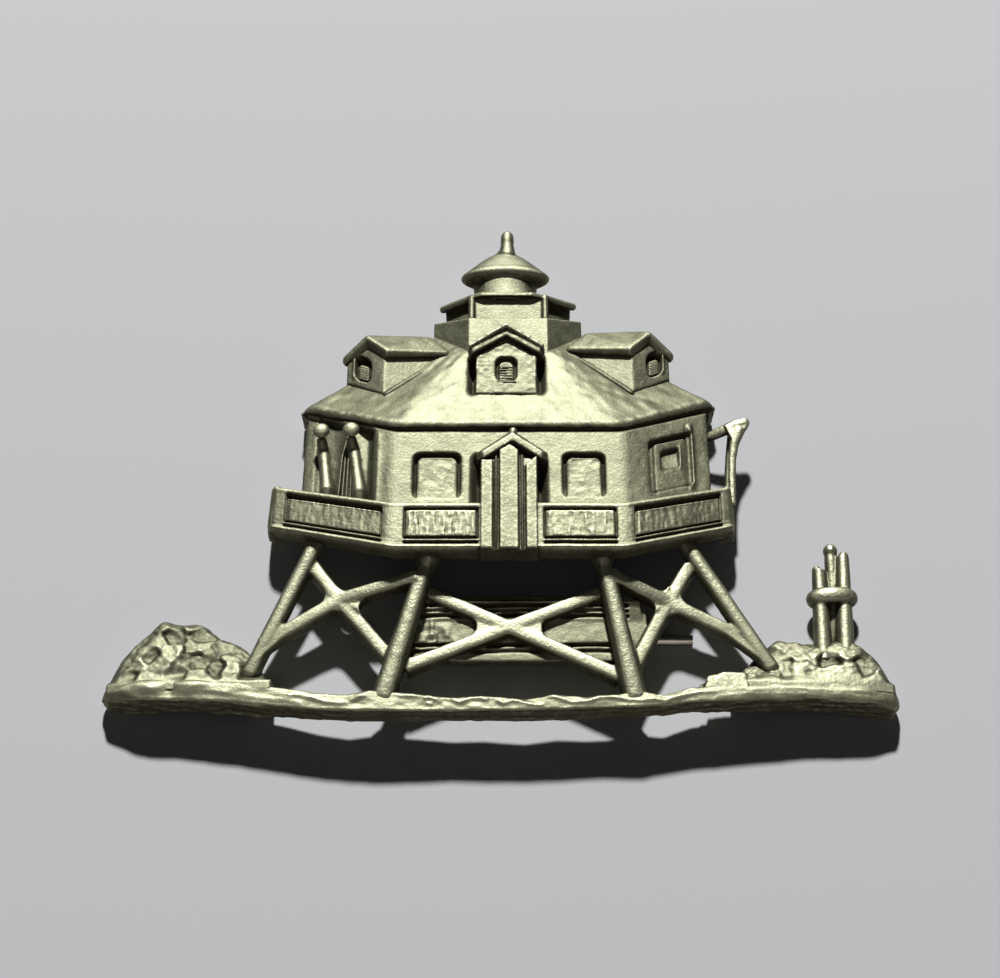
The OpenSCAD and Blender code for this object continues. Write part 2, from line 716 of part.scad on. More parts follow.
// Round parts of the tower: lantern, its sill, roof and finial
module lantern() {
    axis_z = 1.95;
    knob_d = 1.0;
    color(PEWTER)
        intersection() {
            translate([-0.2, 0, axis_z])
                scale([1, 1, round_depth])
                    rotate([-90, 0, 0])
                        rotate_extrude($fn = 28)
                            polygon([
                                [0, 33.1], [lantern_r - 0.05, 33.1], [lantern_r - 0.08, 34.6],
                                [lantern_r, 35.4], [rim_r, 35.55],
                                [rim_r + 0.05, 35.75], [rim_r - 0.3, 36.1], [2.35, 36.75],
                                [1.65, 37.35], [0.95, 37.85], [0.55, 38.3], [0, 38.35]
                            ]);
            translate([-5, 30, back_of_tower]) cube([10, 12, 10]);
        }
    color(PEWTER) {
        // Sill of the lantern, which stands out over the watch room
        solid_of([for (y = [33.27, 33.63]) each [
            [-2.65, y, 2.85], [-1.9, y, 3.2], [1.7, y, 3.2], [2.45, y, 2.85],
            [-2.65, y, 1.0], [2.45, y, 1.0]
        ]]);
        rod([-0.05, 38.0, axis_z], [-0.05, 38.6, axis_z + 0.05], 1.25, 1.05, 10);
        rod([-0.05, 38.6, axis_z + 0.05], [-0.05, brooch_h - knob_d / 2 * cos(15), axis_z + 0.1],
            1.05, knob_d, 12);
    }
}
back_of_tower = 0.9;

// Everything that is cast in one piece
module cast_metal() {
    shore();
    heap(LEFT_HEAP, 2.3, 5);
    heap(RIGHT_HEAP, 2.3, 8);
    flat_stone();
    legs();
    braces();
    back_plate();
    mooring_posts();
    translate([house_x, 0, 0]) {
        walls();
        porch();
        rail();
        door_bay();
        davit();
        roof();
        front_dormer();
        side_dormer(-1, 0);
        side_dormer(1, 0.35);
        tower();
        lantern();
    }
}

module casting() {
    translate([0, -brooch_h / 2, 0]) cast_metal();
}

// Fastening behind the back plate: bar, hinge barrel, stem and catch in one piece
module pin_clasp() {
    bar_y = 7.0;
    bar_h = 1.8;
    bar_t = 0.45;
    bar_top = plate_back - seat_gap;
    bar_left = -6.4;
    stem_y = 6.4;
    stem_z = stem_d / 2 + 0.12;
    color(PEWTER_DARK)
        translate([0, -brooch_h / 2, 0]) {
            translate([bar_left, bar_y - bar_h / 2, bar_top - bar_t])
                cube([pin_bar_l, bar_h, bar_t]);
            // Hinge barrel, with its cheek up to the bar
            translate([bar_left - 0.1, stem_y, 0.6])
                rotate([0, 90, 0]) cylinder(d = 1.2, h = 1.7, $fn = 24);
            translate([bar_left + 0.1, stem_y + 0.1, 0.3])
                cube([1.4, 1.2, bar_top - 0.4]);
            // Stem, from the barrel to past the catch
            translate([bar_left + 0.4, stem_y, stem_z])
                rotate([0, 90, 0]) cylinder(d = stem_d, h = pin_bar_l + 3.7, $fn = 20);
            // Catch: a cheek that reaches down from the bar and round the stem
            translate([bar_left + pin_bar_l - 1.5, stem_y - 0.55, 0.04])
                cube([1.3, 2.1, bar_top - 0.14]);
        }
}

casting();
pin_clasp();
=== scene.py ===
"""Cast pewter brooch in the shape of a cottage lighthouse, lying on its back.

Shapes are worked out in millimetres: x across from the middle of the brooch, y up from the
lowest point of the shore, z out from the surface it lies on. Finished pieces go to metres.
"""

import json
import math

import bmesh
import bpy
import numpy as np
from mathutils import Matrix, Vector
from mathutils.bvhtree import BVHTree

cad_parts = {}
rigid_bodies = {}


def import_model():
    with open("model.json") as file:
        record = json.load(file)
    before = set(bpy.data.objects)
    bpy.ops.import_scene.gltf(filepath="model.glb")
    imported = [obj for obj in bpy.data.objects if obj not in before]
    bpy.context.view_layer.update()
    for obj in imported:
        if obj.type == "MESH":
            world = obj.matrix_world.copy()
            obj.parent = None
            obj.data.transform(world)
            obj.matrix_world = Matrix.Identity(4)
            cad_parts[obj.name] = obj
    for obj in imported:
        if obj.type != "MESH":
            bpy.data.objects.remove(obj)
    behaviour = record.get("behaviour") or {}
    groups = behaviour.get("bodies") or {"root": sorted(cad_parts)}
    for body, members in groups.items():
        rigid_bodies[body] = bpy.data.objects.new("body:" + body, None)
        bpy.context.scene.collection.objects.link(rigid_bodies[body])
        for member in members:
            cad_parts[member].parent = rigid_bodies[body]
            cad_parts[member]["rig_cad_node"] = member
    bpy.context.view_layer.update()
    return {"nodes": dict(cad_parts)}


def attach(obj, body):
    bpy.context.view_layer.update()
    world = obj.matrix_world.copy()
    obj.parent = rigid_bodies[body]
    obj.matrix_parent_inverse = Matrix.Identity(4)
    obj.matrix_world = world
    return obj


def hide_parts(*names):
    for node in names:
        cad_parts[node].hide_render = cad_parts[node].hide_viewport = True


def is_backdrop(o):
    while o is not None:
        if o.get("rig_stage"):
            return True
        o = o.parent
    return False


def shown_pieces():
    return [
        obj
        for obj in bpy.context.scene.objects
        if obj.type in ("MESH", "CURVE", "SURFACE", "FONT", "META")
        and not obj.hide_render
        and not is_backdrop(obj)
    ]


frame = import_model()

bl_info = {
    "name": "Pewter lighthouse brooch",
    "version": (1, 0, 0),
    "blender": (4, 5, 0),
    "location": "View3D > Sidebar > Brooch",
    "description": "Builds the cast pieces of a pewter lighthouse brooch, their metal and the stage",
    "category": "Add Mesh",
}

FOOT = 20.05  # from the frame's origin down to the lowest point of the shore
HOUSE_X = 0.55  # the lighthouse's centre line
FRONT_HALF = 7.8  # half width of the walls' front facet
HALF_WIDTH = 25.8  # half width of the shore, the widest part of the brooch
MM = 1000  # from metres to millimetres
RADIUS_MM = 500  # from a diameter in metres to a radius in millimetres


# Numbers that vary smoothly


def ease(x, low, high):
    """0 below low, 1 above high, smooth between."""
    t = np.clip((x - low) / (high - low), 0, 1)
    return t * t * (3 - 2 * t)


def span(x, low, high, soft=0.04):
    """1 between low and high, with soft edges."""
    return ease(x, low - soft, low + soft) * (1 - ease(x, high - soft, high + soft))


def bump(x, centre, width):
    return np.exp(-(((x - centre) / width) ** 2))


def lattice(i, j, k, seed):
    h = i * 374761393 + j * 668265263 + k * 1440662683 + seed * 1274126177
    h = (h ^ (h >> 13)) * 1103515245
    return ((h ^ (h >> 16)) & 65535) / 32767.5 - 1


def grain(points, size, seed=0):
    """Smooth noise from -1 to 1 with cells of the given size, one number or three."""
    q = points / np.asarray(size, float)
    cell = np.floor(q).astype(np.int64)
    f = q - cell
    f = f * f * (3 - 2 * f)
    total = 0
    for a in (0, 1):
        for b in (0, 1):
            for c in (0, 1):
                weight = (
                    (f[..., 0] if a else 1 - f[..., 0])
                    * (f[..., 1] if b else 1 - f[..., 1])
                    * (f[..., 2] if c else 1 - f[..., 2])
                )
                total = total + weight * lattice(
                    cell[..., 0] + a, cell[..., 1] + b, cell[..., 2] + c, seed
                )
    return total


def cast_skin(points, seed=0):
    """Unevenness that a tumbled casting has, in millimetres."""
    return (
        0.010 * grain(points, 1.5, seed)
        + 0.005 * grain(points, 0.4, seed + 1)
        + 0.005 * grain(points, 0.16, seed + 2)
    )


# Meshes


def mesh_of(name, points, quads):
    points = np.asarray(points, float).reshape(-1, 3)
    quads = np.asarray(quads, np.int32).reshape(-1, 4)
    mesh = bpy.data.meshes.new(name)
    mesh.vertices.add(len(points))
    mesh.vertices.foreach_set("co", points.astype(np.float32).ravel())
    mesh.loops.add(quads.size)
    mesh.loops.foreach_set("vertex_index", quads.ravel())
    mesh.polygons.add(len(quads))
    mesh.polygons.foreach_set("loop_start", np.arange(0, quads.size, 4, dtype=np.int32))
    mesh.update(calc_edges=True)
    return mesh


def points_of(mesh):
    co = np.empty(len(mesh.vertices) * 3, np.float32)
    mesh.vertices.foreach_get("co", co)
    return co.reshape(-1, 3).astype(float)


def normals_of(mesh):
    no = np.empty(len(mesh.vertices) * 3, np.float32)
    mesh.vertices.foreach_get("normal", no)
    return no.reshape(-1, 3).astype(float)


def set_points(mesh, points):
    mesh.vertices.foreach_set("co", points.astype(np.float32).ravel())
    mesh.update()


def grid_normals(grid):
    """Unit normals of a grid of points, outwards when u goes right and v goes up."""
    n = np.cross(np.gradient(grid, axis=0), np.gradient(grid, axis=1))
    return n / np.maximum(np.linalg.norm(n, axis=2, keepdims=True), 1e-9)


def closed_sheet(name, front, back):
    """A closed solid between two grids of points."""
    nu, nv = front.shape[:2]
    at = np.arange(nu * nv).reshape(nu, nv)
    quads = np.stack([at[:-1, :-1], at[1:, :-1], at[1:, 1:], at[:-1, 1:]], -1).reshape(-1, 4)
    rim = np.concatenate([at[:, 0], at[-1, 1:], at[-2::-1, -1], at[0, -2:0:-1]])
    after = np.roll(rim, -1)
    n = nu * nv
    walls = np.stack([rim, rim + n, after + n, after], -1)
    return mesh_of(
        name,
        np.concatenate([front.reshape(-1, 3), back.reshape(-1, 3)]),
        np.concatenate([quads, quads[:, ::-1] + n, walls]),
    )


def closed_tube(name, rings):
    """A closed solid from a stack of rings, its ends drawn together to poles."""
    count, sides = rings.shape[:2]
    at = np.arange(count * sides).reshape(count, sides)
    nxt = np.roll(at, -1, axis=1)
    quads = np.stack([at[:-1], nxt[:-1], nxt[1:], at[1:]], -1).reshape(-1, 4)
    mesh = mesh_of(name, rings, quads)
    bm = bmesh.new()
    bm.from_mesh(mesh)
    bm.verts.ensure_lookup_table()
    for ring in [[bm.verts[i] for i in row] for row in (at[0], at[-1])]:
        pole = bm.verts.new(sum((v.co for v in ring), Vector()) / sides)
        for a, b in zip(ring, ring[1:] + ring[:1]):
            bm.faces.new((a, b, pole))
    bmesh.ops.recalc_face_normals(bm, faces=bm.faces)
    bm.to_mesh(mesh)
    bm.free()
    return mesh


def flattened(power, wide=1.0, deep=1.0, sides=28):
    """Cross-section between an ellipse, at power 2, and a box with rounded corners."""
    section = []
    for k in range(sides):
        c, w = math.cos(2 * math.pi * k / sides), math.sin(2 * math.pi * k / sides)
        section.append((
            wide * math.copysign(abs(c) ** (2 / power), c),
            deep * math.copysign(abs(w) ** (2 / power), w)))
    return section


class Mould:
    """Gathers plain closed forms, which are then fused into one soft-edged casting."""

    def __init__(self, shift=0.0):
        self.bm = bmesh.new()
        self.shift = shift

    def vert(self, p):
        return self.bm.verts.new((p[0] + self.shift, p[1], p[2]))

    def hull(self, points):
        verts = [self.vert(p) for p in points]
        made = bmesh.ops.convex_hull(self.bm, input=verts)
        spare = set(made["geom_interior"] + made["geom_unused"])
        bmesh.ops.delete(
            self.bm, geom=[g for g in spare if isinstance(g, bmesh.types.BMVert)], context="VERTS"
        )

    def slab(self, face, depth):
        self.hull([*face, *[(x, y, z - depth) for x, y, z in face]])

    def prism(self, outline, depths, across=0.0):
        """A block with an outline across and up, from one depth to another."""
        self.hull([(across + x, y, z) for x, y in outline for z in depths])

    def block(self, x, y, z):
        self.hull([(a, b, c) for a in x for b in y for c in z])

    def ball(self, centre, radius, squash=(1, 1, 1)):
        made = bmesh.ops.create_uvsphere(self.bm, u_segments=20, v_segments=12, radius=radius)
        for v in made["verts"]:
            v.co = Vector(
                (centre[i] + v.co[i] * squash[i] + (self.shift if i == 0 else 0)) for i in range(3)
            )

    def bar(self, path, radii, section=None, caps=True):
        """A bar along a path. section is its cross-section at radius 1, first side then out."""
        path = [Vector(p) for p in path]
        if section is None:
            turn = [2 * math.pi * k / 20 for k in range(20)]
            section = [(math.cos(a), math.sin(a)) for a in turn]
        rings = []
        for i, p in enumerate(path):
            run = (path[min(i + 1, len(path) - 1)] - path[max(i - 1, 0)]).normalized()
            side = run.cross(Vector((0, 0, 1)))
            side = side.normalized() if side.length > 1e-4 else Vector((1, 0, 0))
            out = side.cross(run)
            steps = [(0, 1)]
            if caps and i in (0, len(path) - 1):
                ends = [(math.sin(t), math.cos(t)) for t in (0.0, 0.45, 0.9, 1.25)]
                steps = [(-s, c) for s, c in ends[::-1]] if i == 0 else ends
            for shift, share in steps:
                r = radii[i] * share
                rings.append(
                    [p + run * radii[i] * shift + (side * a + out * b) * r for a, b in section]
                )
        self.loft(rings)

    def loft(self, rings):
        rows = [[self.vert(p) for p in ring] for ring in rings]
        n = len(rows[0])
        for a, b in zip(rows, rows[1:]):
            for k in range(n):
                self.bm.faces.new((a[k], a[(k + 1) % n], b[(k + 1) % n], b[k]))
        self.bm.faces.new(rows[0][::-1])
        self.bm.faces.new(rows[-1])

    def turned(self, profile, x, z, squash, sides=56):
        """A round form about an upright axis. Columns of the profile: radius, height."""
        self.loft(
            [
                [
                    (x + r * math.cos(a), y, z + r * squash * math.sin(a))
                    for a in (2 * math.pi * k / sides for k in range(sides))
                ]
                for r, y in profile
            ]
        )

    def fused(self, name, voxel, rounds):
        bmesh.ops.recalc_face_normals(self.bm, faces=self.bm.faces)
        mesh = bpy.data.meshes.new(name)
        self.bm.to_mesh(mesh)
        self.bm.free()
        return worked(mesh, voxel=voxel, rounds=rounds)


def worked(mesh, voxel=None, rounds=0, keep=None):
    """The mesh after its modifiers: fused at a voxel size, smoothed, and thinned to a share."""
    obj = bpy.data.objects.new(mesh.name + "_work", mesh)
    bpy.context.scene.collection.objects.link(obj)
    if voxel:
        fuse = obj.modifiers.new("fuse", "REMESH")
        fuse.mode = "VOXEL"
        fuse.voxel_size = voxel
    if rounds:
        soften = obj.modifiers.new("soften", "SMOOTH")
        soften.factor = 0.5
        soften.iterations = rounds
    if keep and keep < 1:
        thin = obj.modifiers.new("thin", "DECIMATE")
        thin.ratio = keep
    graph = bpy.context.evaluated_depsgraph_get()
    result = bpy.data.meshes.new_from_object(obj.evaluated_get(graph))
    name = mesh.name
    bpy.data.objects.remove(obj)
    bpy.data.meshes.remove(mesh)
    result.name = name
    return result


def joined(name, meshes):
    """Several closed meshes as one."""
    bm = bmesh.new()
    for mesh in meshes:
        bm.from_mesh(mesh)
        bpy.data.meshes.remove(mesh)
    mesh = bpy.data.meshes.new(name)
    bm.to_mesh(mesh)
    bm.free()
    return mesh


def skinned(mesh, seed, amount=1.0):
    """Moves the surface in and out by the cast skin."""
    p = points_of(mesh)
    set_points(mesh, p + normals_of(mesh) * (amount * cast_skin(p, seed))[:, None])
    return mesh


def piece(name, mesh, budget):
    """Finishes a piece: thinned to its budget of triangles, in metres, in its place."""
    mesh.calc_loop_triangles()
    count = len(mesh.loop_triangles)
    if count > budget:
        mesh.name = name
        mesh = worked(mesh, keep=budget / count)
    p = points_of(mesh)
    p[:, 1] -= FOOT
    p[:, 2] = np.maximum(p[:, 2], 0.0)
    set_points(mesh, p / MM)
    mesh.shade_smooth()
    mesh.name = name
    mesh.materials.clear()
    mesh.materials.append(bpy.data.materials["cast pewter"])
    obj = bpy.data.objects.new(name, mesh)
    bpy.context.scene.collection.objects.link(obj)
    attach(obj, "root")
    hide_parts("casting")


# Storeys: bands of three facets round the front of the house


def storey_edge(half, left, right, y, z, rise, drop):
    return np.array(
        [[-left, y + rise, z - drop], [-half, y, z], [half, y, z], [right, y + rise, z - drop]]
    )


WALL_FOOT = storey_edge(FRONT_HALF, 14.2, 13.8, 14.1, 4.3, 2.7, 1.95)
WALL_HEAD = storey_edge(FRONT_HALF, 14.1, 13.8, 20.8, 4.3, 2.9, 1.95)
RAIL_FOOT = storey_edge(FRONT_HALF, 16.3, 15.3, 10.88, 4.6, 2.95, 2.2)
RAIL_HEAD = storey_edge(FRONT_HALF, 16.2, 15.3, 14.7, 4.6, 2.7, 2.2)
EAVE = storey_edge(FRONT_HALF - 0.05, 14.6, 14.4, 20.8, 4.55, 2.95, 2.15)
EAVE[3] += [0.2, 0.5, 0.0]  # the right tip stands out more
ROOF_TOP = np.array([[-5.4, 30.6, 1.7], [-2.95, 28.5, 2.9], [3.05, 28.5, 2.9], [5.3, 30.6, 1.7]])
# Heights that the reliefs of the storeys are drawn for, and the width of a wall's flank
RAIL_TALL, WALL_TALL, ROOF_TALL = 3.65, 6.7, 8.0
FLANK_WIDE = 7.2


def along(edge, u, half):
    """Points of an edge at u: across on the front facet, and on along each flank."""
    left, right = edge[0] - edge[1], edge[3] - edge[2]
    reach = np.linalg.norm(left), np.linalg.norm(right)
    share = np.clip((u + half) / (2 * half), 0, 1)
    base = edge[1] + (edge[2] - edge[1]) * share[..., None]
    out_left = np.minimum(u + half, 0)[..., None] * -left / reach[0]
    out_right = np.maximum(u - half, 0)[..., None] * right / reach[1]
    return base + out_left + out_right


def flank_lengths(low):
    return np.linalg.norm(low[0] - low[1]), np.linalg.norm(low[3] - low[2])


def storey_grid(low, high, u, v, half, corner):
    """Base points of a storey at each u and share v, with its corners eased by corner mm."""
    reach = flank_lengths(low)
    reach_high = flank_lengths(high)
    total = 0
    steps = np.linspace(-1, 1, 9)
    for s in steps:
        uu = u + s * corner
        stretch = np.where(uu < -half, reach_high[0] / reach[0], reach_high[1] / reach[1])
        top_half = high[2][0]
        beyond = np.sign(uu) * np.maximum(np.abs(uu) - half, 0)
        u_high = np.clip(uu, -half, half) * top_half / half + beyond * stretch
        a = along(low, uu, half)
        b = along(high, u_high, top_half)
        total = total + a[:, None, :] + (b - a)[:, None, :] * v[None, :, None]
    grid = total / len(steps)
    grid[..., 0] += HOUSE_X
    return grid


def storey_sheet(name, low, high, height, relief, thick, step, corner=0.25, extend=(0, 0)):
    """A storey as a closed sheet. relief(u, v) is its depth map, v in mm up from the low edge."""
    half = low[2][0]
    reach = flank_lengths(low)
    u = np.arange(-half - reach[0], half + reach[1] + step[0] / 2, step[0])
    v = np.arange(-extend[0], height + extend[1] + step[1] / 2, step[1])
    base = storey_grid(low, high, u, v / height, half, corner)
    normal = grid_normals(base)
    depth = relief(u[:, None] + 0 * v[None, :], v[None, :] + 0 * u[:, None], reach)
    front = base + normal * depth[..., None]
    return closed_sheet(name, front, base - normal * thick)


# Node trees


def node(tree, kind, given=None, **settings):
    """A new node in a tree. given holds its inputs: values, or outputs of other nodes."""
    made = tree.nodes.new(kind)
    for name, value in settings.items():
        setattr(made, name, value)
    for socket, value in (given or {}).items():
        if isinstance(value, bpy.types.NodeSocket):
            tree.links.new(value, made.inputs[socket])
        else:
            made.inputs[socket].default_value = value
    return made


def maths(tree, operation, *values):
    return node(tree, "ShaderNodeMath", dict(enumerate(values)), operation=operation).outputs[0]


def new_tree(name, kind, inputs, outputs):
    """A node tree, the identifiers of its inputs, their sockets inside, and its last node."""
    tree = bpy.data.node_groups.new(name, kind)
    ids = {}
    for label, (socket, default) in inputs.items():
        made = tree.interface.new_socket(label, in_out="INPUT", socket_type="NodeSocket" + socket)
        if default is not None:
            made.default_value = default
        ids[label] = made.identifier
    for label in outputs:
        socket = "NodeSocketGeometry" if label == "Geometry" else "NodeSocketFloat"
        tree.interface.new_socket(label, in_out="OUTPUT", socket_type=socket)
    return tree, ids, node(tree, "NodeGroupInput").outputs, node(tree, "NodeGroupOutput")


# Things that repeat, made by geometry nodes


def repeat_tree(name, inputs):
    inputs = {"Geometry": ("Geometry", None), **inputs, "Metal": ("Material", None)}
    return new_tree(name, "GeometryNodeTree", inputs, ["Geometry"])


def finish_tree(tree, last, given, out):
    """Realizes the copies, smooths them, gives them their metal and closes the tree."""
    real = node(tree, "GeometryNodeRealizeInstances", {0: last})
    soft = node(tree, "GeometryNodeSetShadeSmooth", {"Geometry": real.outputs[0]})
    paint = node(tree, "GeometryNodeSetMaterial", {
        "Geometry": soft.outputs[0], "Material": given["Metal"]})
    tree.links.new(paint.outputs[0], out.inputs[0])


def swept(tree, given, curve):
    """A round bar along a curve."""
    ring = node(tree, "GeometryNodeCurvePrimitiveCircle", {
        "Resolution": given["Sides"], "Radius": given["Radius"]})
    return node(tree, "GeometryNodeCurveToMesh", {
        "Curve": curve, "Profile Curve": ring.outputs[0], "Fill Caps": True})


def row_tree():
    """A row of round slats of one length: slats of a louvre, ribs of a door."""
    tree, ids, given, out = repeat_tree("row of slats", {
        "Count": ("Int", 6), "Start": ("Vector", (0, 0, 0)), "Step": ("Vector", (0, 0.2, 0)),
        "Run": ("Vector", (1, 0, 0)), "Radius": ("Float", 0.08), "Sides": ("Int", 10)})
    line = node(tree, "GeometryNodeMeshLine", {
        "Count": given["Count"], "Start Location": given["Start"], "Offset": given["Step"]})
    slat = node(tree, "GeometryNodeCurvePrimitiveLine", {"End": given["Run"]})
    copies = node(tree, "GeometryNodeInstanceOnPoints", {
        "Points": line.outputs[0], "Instance": swept(tree, given, slat.outputs[0]).outputs[0]})
    finish_tree(tree, copies.outputs[0], given, out)
    return tree, ids


def bead_tree():
    """A bead along the edges of the mesh it is given: mouldings and ribs."""
    tree, ids, given, out = repeat_tree("bead along an edge", {
        "Radius": ("Float", 0.1), "Taper": ("Float", 0.0), "Spacing": ("Float", 0.12),
        "Sides": ("Int", 12)})
    curve = node(tree, "GeometryNodeMeshToCurve", {0: given["Geometry"]})
    even = node(tree, "GeometryNodeResampleCurve", {
        "Curve": curve.outputs[0], "Length": given["Spacing"]}, mode="LENGTH")
    # Thinner towards both ends, by the share that Taper gives
    where = node(tree, "GeometryNodeSplineParameter").outputs["Factor"]
    centred = maths(tree, "SUBTRACT", where, 0.5)
    loss = maths(tree, "MULTIPLY", maths(tree, "MULTIPLY", centred, centred), given["Taper"])
    share = maths(tree, "MULTIPLY_ADD", loss, -4.0, 1.0)
    radius = node(tree, "GeometryNodeSetCurveRadius", {"Curve": even.outputs[0], "Radius": share})
    sweep = swept(tree, given, radius.outputs[0])
    # A sweep that has a scale of its own takes no notice of the curve's radius
    if "Scale" in sweep.inputs:
        tree.links.new(share, sweep.inputs["Scale"])
    finish_tree(tree, sweep.outputs[0], given, out)
    return tree, ids


TREES = {}


def grown(kind, mesh=None, **values):
    """The mesh that one of the trees makes with these values."""
    if kind not in TREES:
        TREES[kind] = {"row": row_tree, "bead": bead_tree}[kind]()
    tree, ids = TREES[kind]
    obj = bpy.data.objects.new("grown", mesh or bpy.data.meshes.new("grown"))
    bpy.context.scene.collection.objects.link(obj)
    nodes = obj.modifiers.new(kind, "NODES")
    nodes.node_group = tree
    nodes[ids["Metal"]] = bpy.data.materials["cast pewter"]
    for name, value in values.items():
        nodes[ids[name]] = value
    graph = bpy.context.evaluated_depsgraph_get()
    result = bpy.data.meshes.new_from_object(obj.evaluated_get(graph))
    start = obj.data
    bpy.data.objects.remove(obj)
    bpy.data.meshes.remove(start)
    return result


def slats(count, start, step, run, radius):
    return grown(
        "row",
        Count=count,
        Start=(start[0] + HOUSE_X, start[1], start[2]),
        Step=tuple(step),
        Run=tuple(run),
        Radius=radius,
    )


def bead(path, radius, taper=0.0):
    mesh = bpy.data.meshes.new("path")
    mesh.from_pydata(
        [(x + HOUSE_X, y, z) for x, y, z in path], [(i, i + 1) for i in range(len(path) - 1)], []
    )
    return grown("bead", mesh, Radius=radius, Taper=taper)


# The metal


def mask_tree(name, inputs, outputs):
    """A shader group of plain numbers, and the place on the piece that its patterns read."""
    inputs = {label: ("Float", default) for label, default in inputs.items()}
    tree, _, given, out = new_tree(name, "ShaderNodeTree", inputs, outputs)
    return tree, given, out, node(tree, "ShaderNodeTexCoord").outputs["Object"]


def cast_grain_group():
    """Fine sand grain: a height for bump, and a mottle of the colour and the gloss."""
    tree, given, out, place = mask_tree(
        "cast grain", {"Grain size": 7000.0}, ["Height", "Mottle"])
    fine = node(tree, "ShaderNodeTexNoise", {
        "Vector": place, "Scale": given["Grain size"], "Detail": 3.0, "Roughness": 0.65})
    wide = node(tree, "ShaderNodeTexNoise", {"Vector": place, "Scale": 900.0, "Detail": 4.0})
    pits = node(tree, "ShaderNodeTexVoronoi", {"Vector": place, "Scale": 5200.0})
    pit = maths(tree, "MULTIPLY", pits.outputs["Distance"], 0.5)
    tree.links.new(maths(tree, "ADD", fine.outputs["Fac"], pit), out.inputs["Height"])
    tree.links.new(wide.outputs["Fac"], out.inputs["Mottle"])
    return tree


def tarnish_and_shade_group():
    """Dark tarnish held in the recesses, from the measured shelter of each point, together with
    painted shade on the faces that turn down the brooch, which comes in with that value.
    """
    tree, given, out, place = mask_tree(
        "tarnish and painted shade", {"Shelter and shade": 0.0, "Starts at": 0.35, "Full at": 0.8}, ["Amount"])
    patch = node(tree, "ShaderNodeTexNoise", {"Vector": place, "Scale": 3000.0, "Detail": 3.0})
    uneven = maths(tree, "SUBTRACT", patch.outputs["Fac"], 0.5)
    uneven = maths(tree, "MULTIPLY", uneven, 0.3)
    spread = node(tree, "ShaderNodeMapRange", {
        "Value": maths(tree, "ADD", given["Shelter and shade"], uneven),
        "From Min": given["Starts at"], "From Max": given["Full at"],
    }, interpolation_type="SMOOTHSTEP")
    tree.links.new(spread.outputs["Result"], out.inputs["Amount"])
    return tree


def metal(name, bright, dull_and_shaded_tone, tarnish_and_shade, rough, starts, full, grain_depth):
    """A cast or drawn metal with mottled colour, tarnish in its recesses and a fine grain. Its colour
    also holds painted light: painted shade where faces turn down the brooch, turn aside or lie low,
    and a painted lighter tone where they turn out.
    """
    material = bpy.data.materials.new(name)
    material.use_nodes = True
    tree, groups = material.node_tree, bpy.data.node_groups
    shelter_and_shade, wear_and_light = (
        node(tree, "ShaderNodeAttribute", attribute_name=label).outputs["Fac"]
        for label in ("shelter_and_shade", "wear_and_light"))
    grains = node(
        tree, "ShaderNodeGroup", node_tree=groups.get("cast grain") or cast_grain_group())
    tarnish_and_shade_amount = node(
        tree, "ShaderNodeGroup", {"Shelter and shade": shelter_and_shade, "Starts at": starts, "Full at": full},
        node_tree=groups.get("tarnish and painted shade") or tarnish_and_shade_group()).outputs["Amount"]
    # Painted light and real wear together: the wear value lightens faces that turn out and darkens
    # faces that turn aside or lie low, as painted shade
    worn_and_lit = maths(tree, "MULTIPLY", wear_and_light, 0.8)
    patchy = maths(tree, "SUBTRACT", grains.outputs["Mottle"], 0.4)
    mottled_wear_and_light = node(
        tree, "ShaderNodeMix",
        {0: maths(tree, "ADD", worn_and_lit, patchy), 6: (*dull_and_shaded_tone, 1), 7: (*bright, 1)},
        data_type="RGBA", clamp_factor=False)
    # Tarnish darkens the recesses, and painted shade darkens the faces that turn down the brooch
    tarnished_and_shaded = node(
        tree, "ShaderNodeMix", {0: tarnish_and_shade_amount, 6: mottled_wear_and_light.outputs[2], 7: (*tarnish_and_shade, 1)},
        data_type="RGBA")
    # Tarnish and painted shade are duller, the grain breaks up the gloss, and what is rubbed most is
    # polished
    height = grains.outputs["Height"]
    gloss = maths(tree, "ADD", maths(tree, "MULTIPLY", height, 0.12), rough - 0.08)
    gloss = maths(tree, "ADD", gloss, maths(tree, "MULTIPLY", tarnish_and_shade_amount, 0.25))
    polish = maths(tree, "MULTIPLY", maths(tree, "MAXIMUM", wear_and_light, 1.0), -0.28)
    gloss = maths(tree, "ADD", maths(tree, "ADD", gloss, polish), 0.28)
    relief = node(
        tree, "ShaderNodeBump", {"Strength": 1.0, "Distance": grain_depth, "Height": height})
    shader = tree.nodes["Principled BSDF"]
    shader.inputs["Metallic"].default_value = 1.0
    for socket, value in (
            ("Base Color", tarnished_and_shaded.outputs[2]), ("Roughness", gloss), ("Normal", relief.outputs[0])):
        tree.links.new(value, shader.inputs[socket])


# Sizes and finishes a user would change


class BroochSettings(bpy.types.PropertyGroup):
    leg_top: bpy.props.FloatProperty(
        name="Leg top", description="Diameter of an inner leg under its collar",
        default=0.0011, min=0.0006, max=0.002, unit="LENGTH")
    leg_foot: bpy.props.FloatProperty(
        name="Leg foot", description="Diameter of an inner leg at the shore",
        default=0.00155, min=0.0008, max=0.0025, unit="LENGTH")
    outer_leg: bpy.props.FloatProperty(
        name="Outer leg", description="Diameter of an outer leg",
        default=0.00115, min=0.0006, max=0.002, unit="LENGTH")
    brace_width: bpy.props.FloatProperty(
        name="Brace width", description="Width of a cross brace",
        default=0.00092, min=0.0004, max=0.0015, unit="LENGTH")
    brace_depth: bpy.props.FloatProperty(
        name="Brace depth", description="Thickness of a cross brace, front to back",
        default=0.0011, min=0.0005, max=0.002, unit="LENGTH")
    voxel: bpy.props.FloatProperty(
        name="Voxel", description="Finest detail kept when the legs are fused",
        default=0.000075, min=0.00005, max=0.0002, unit="LENGTH")
    skin: bpy.props.FloatProperty(
        name="Cast skin", description="Strength of the unevenness of the cast surface",
        default=1.0, min=0.0, max=3.0, subtype="FACTOR")


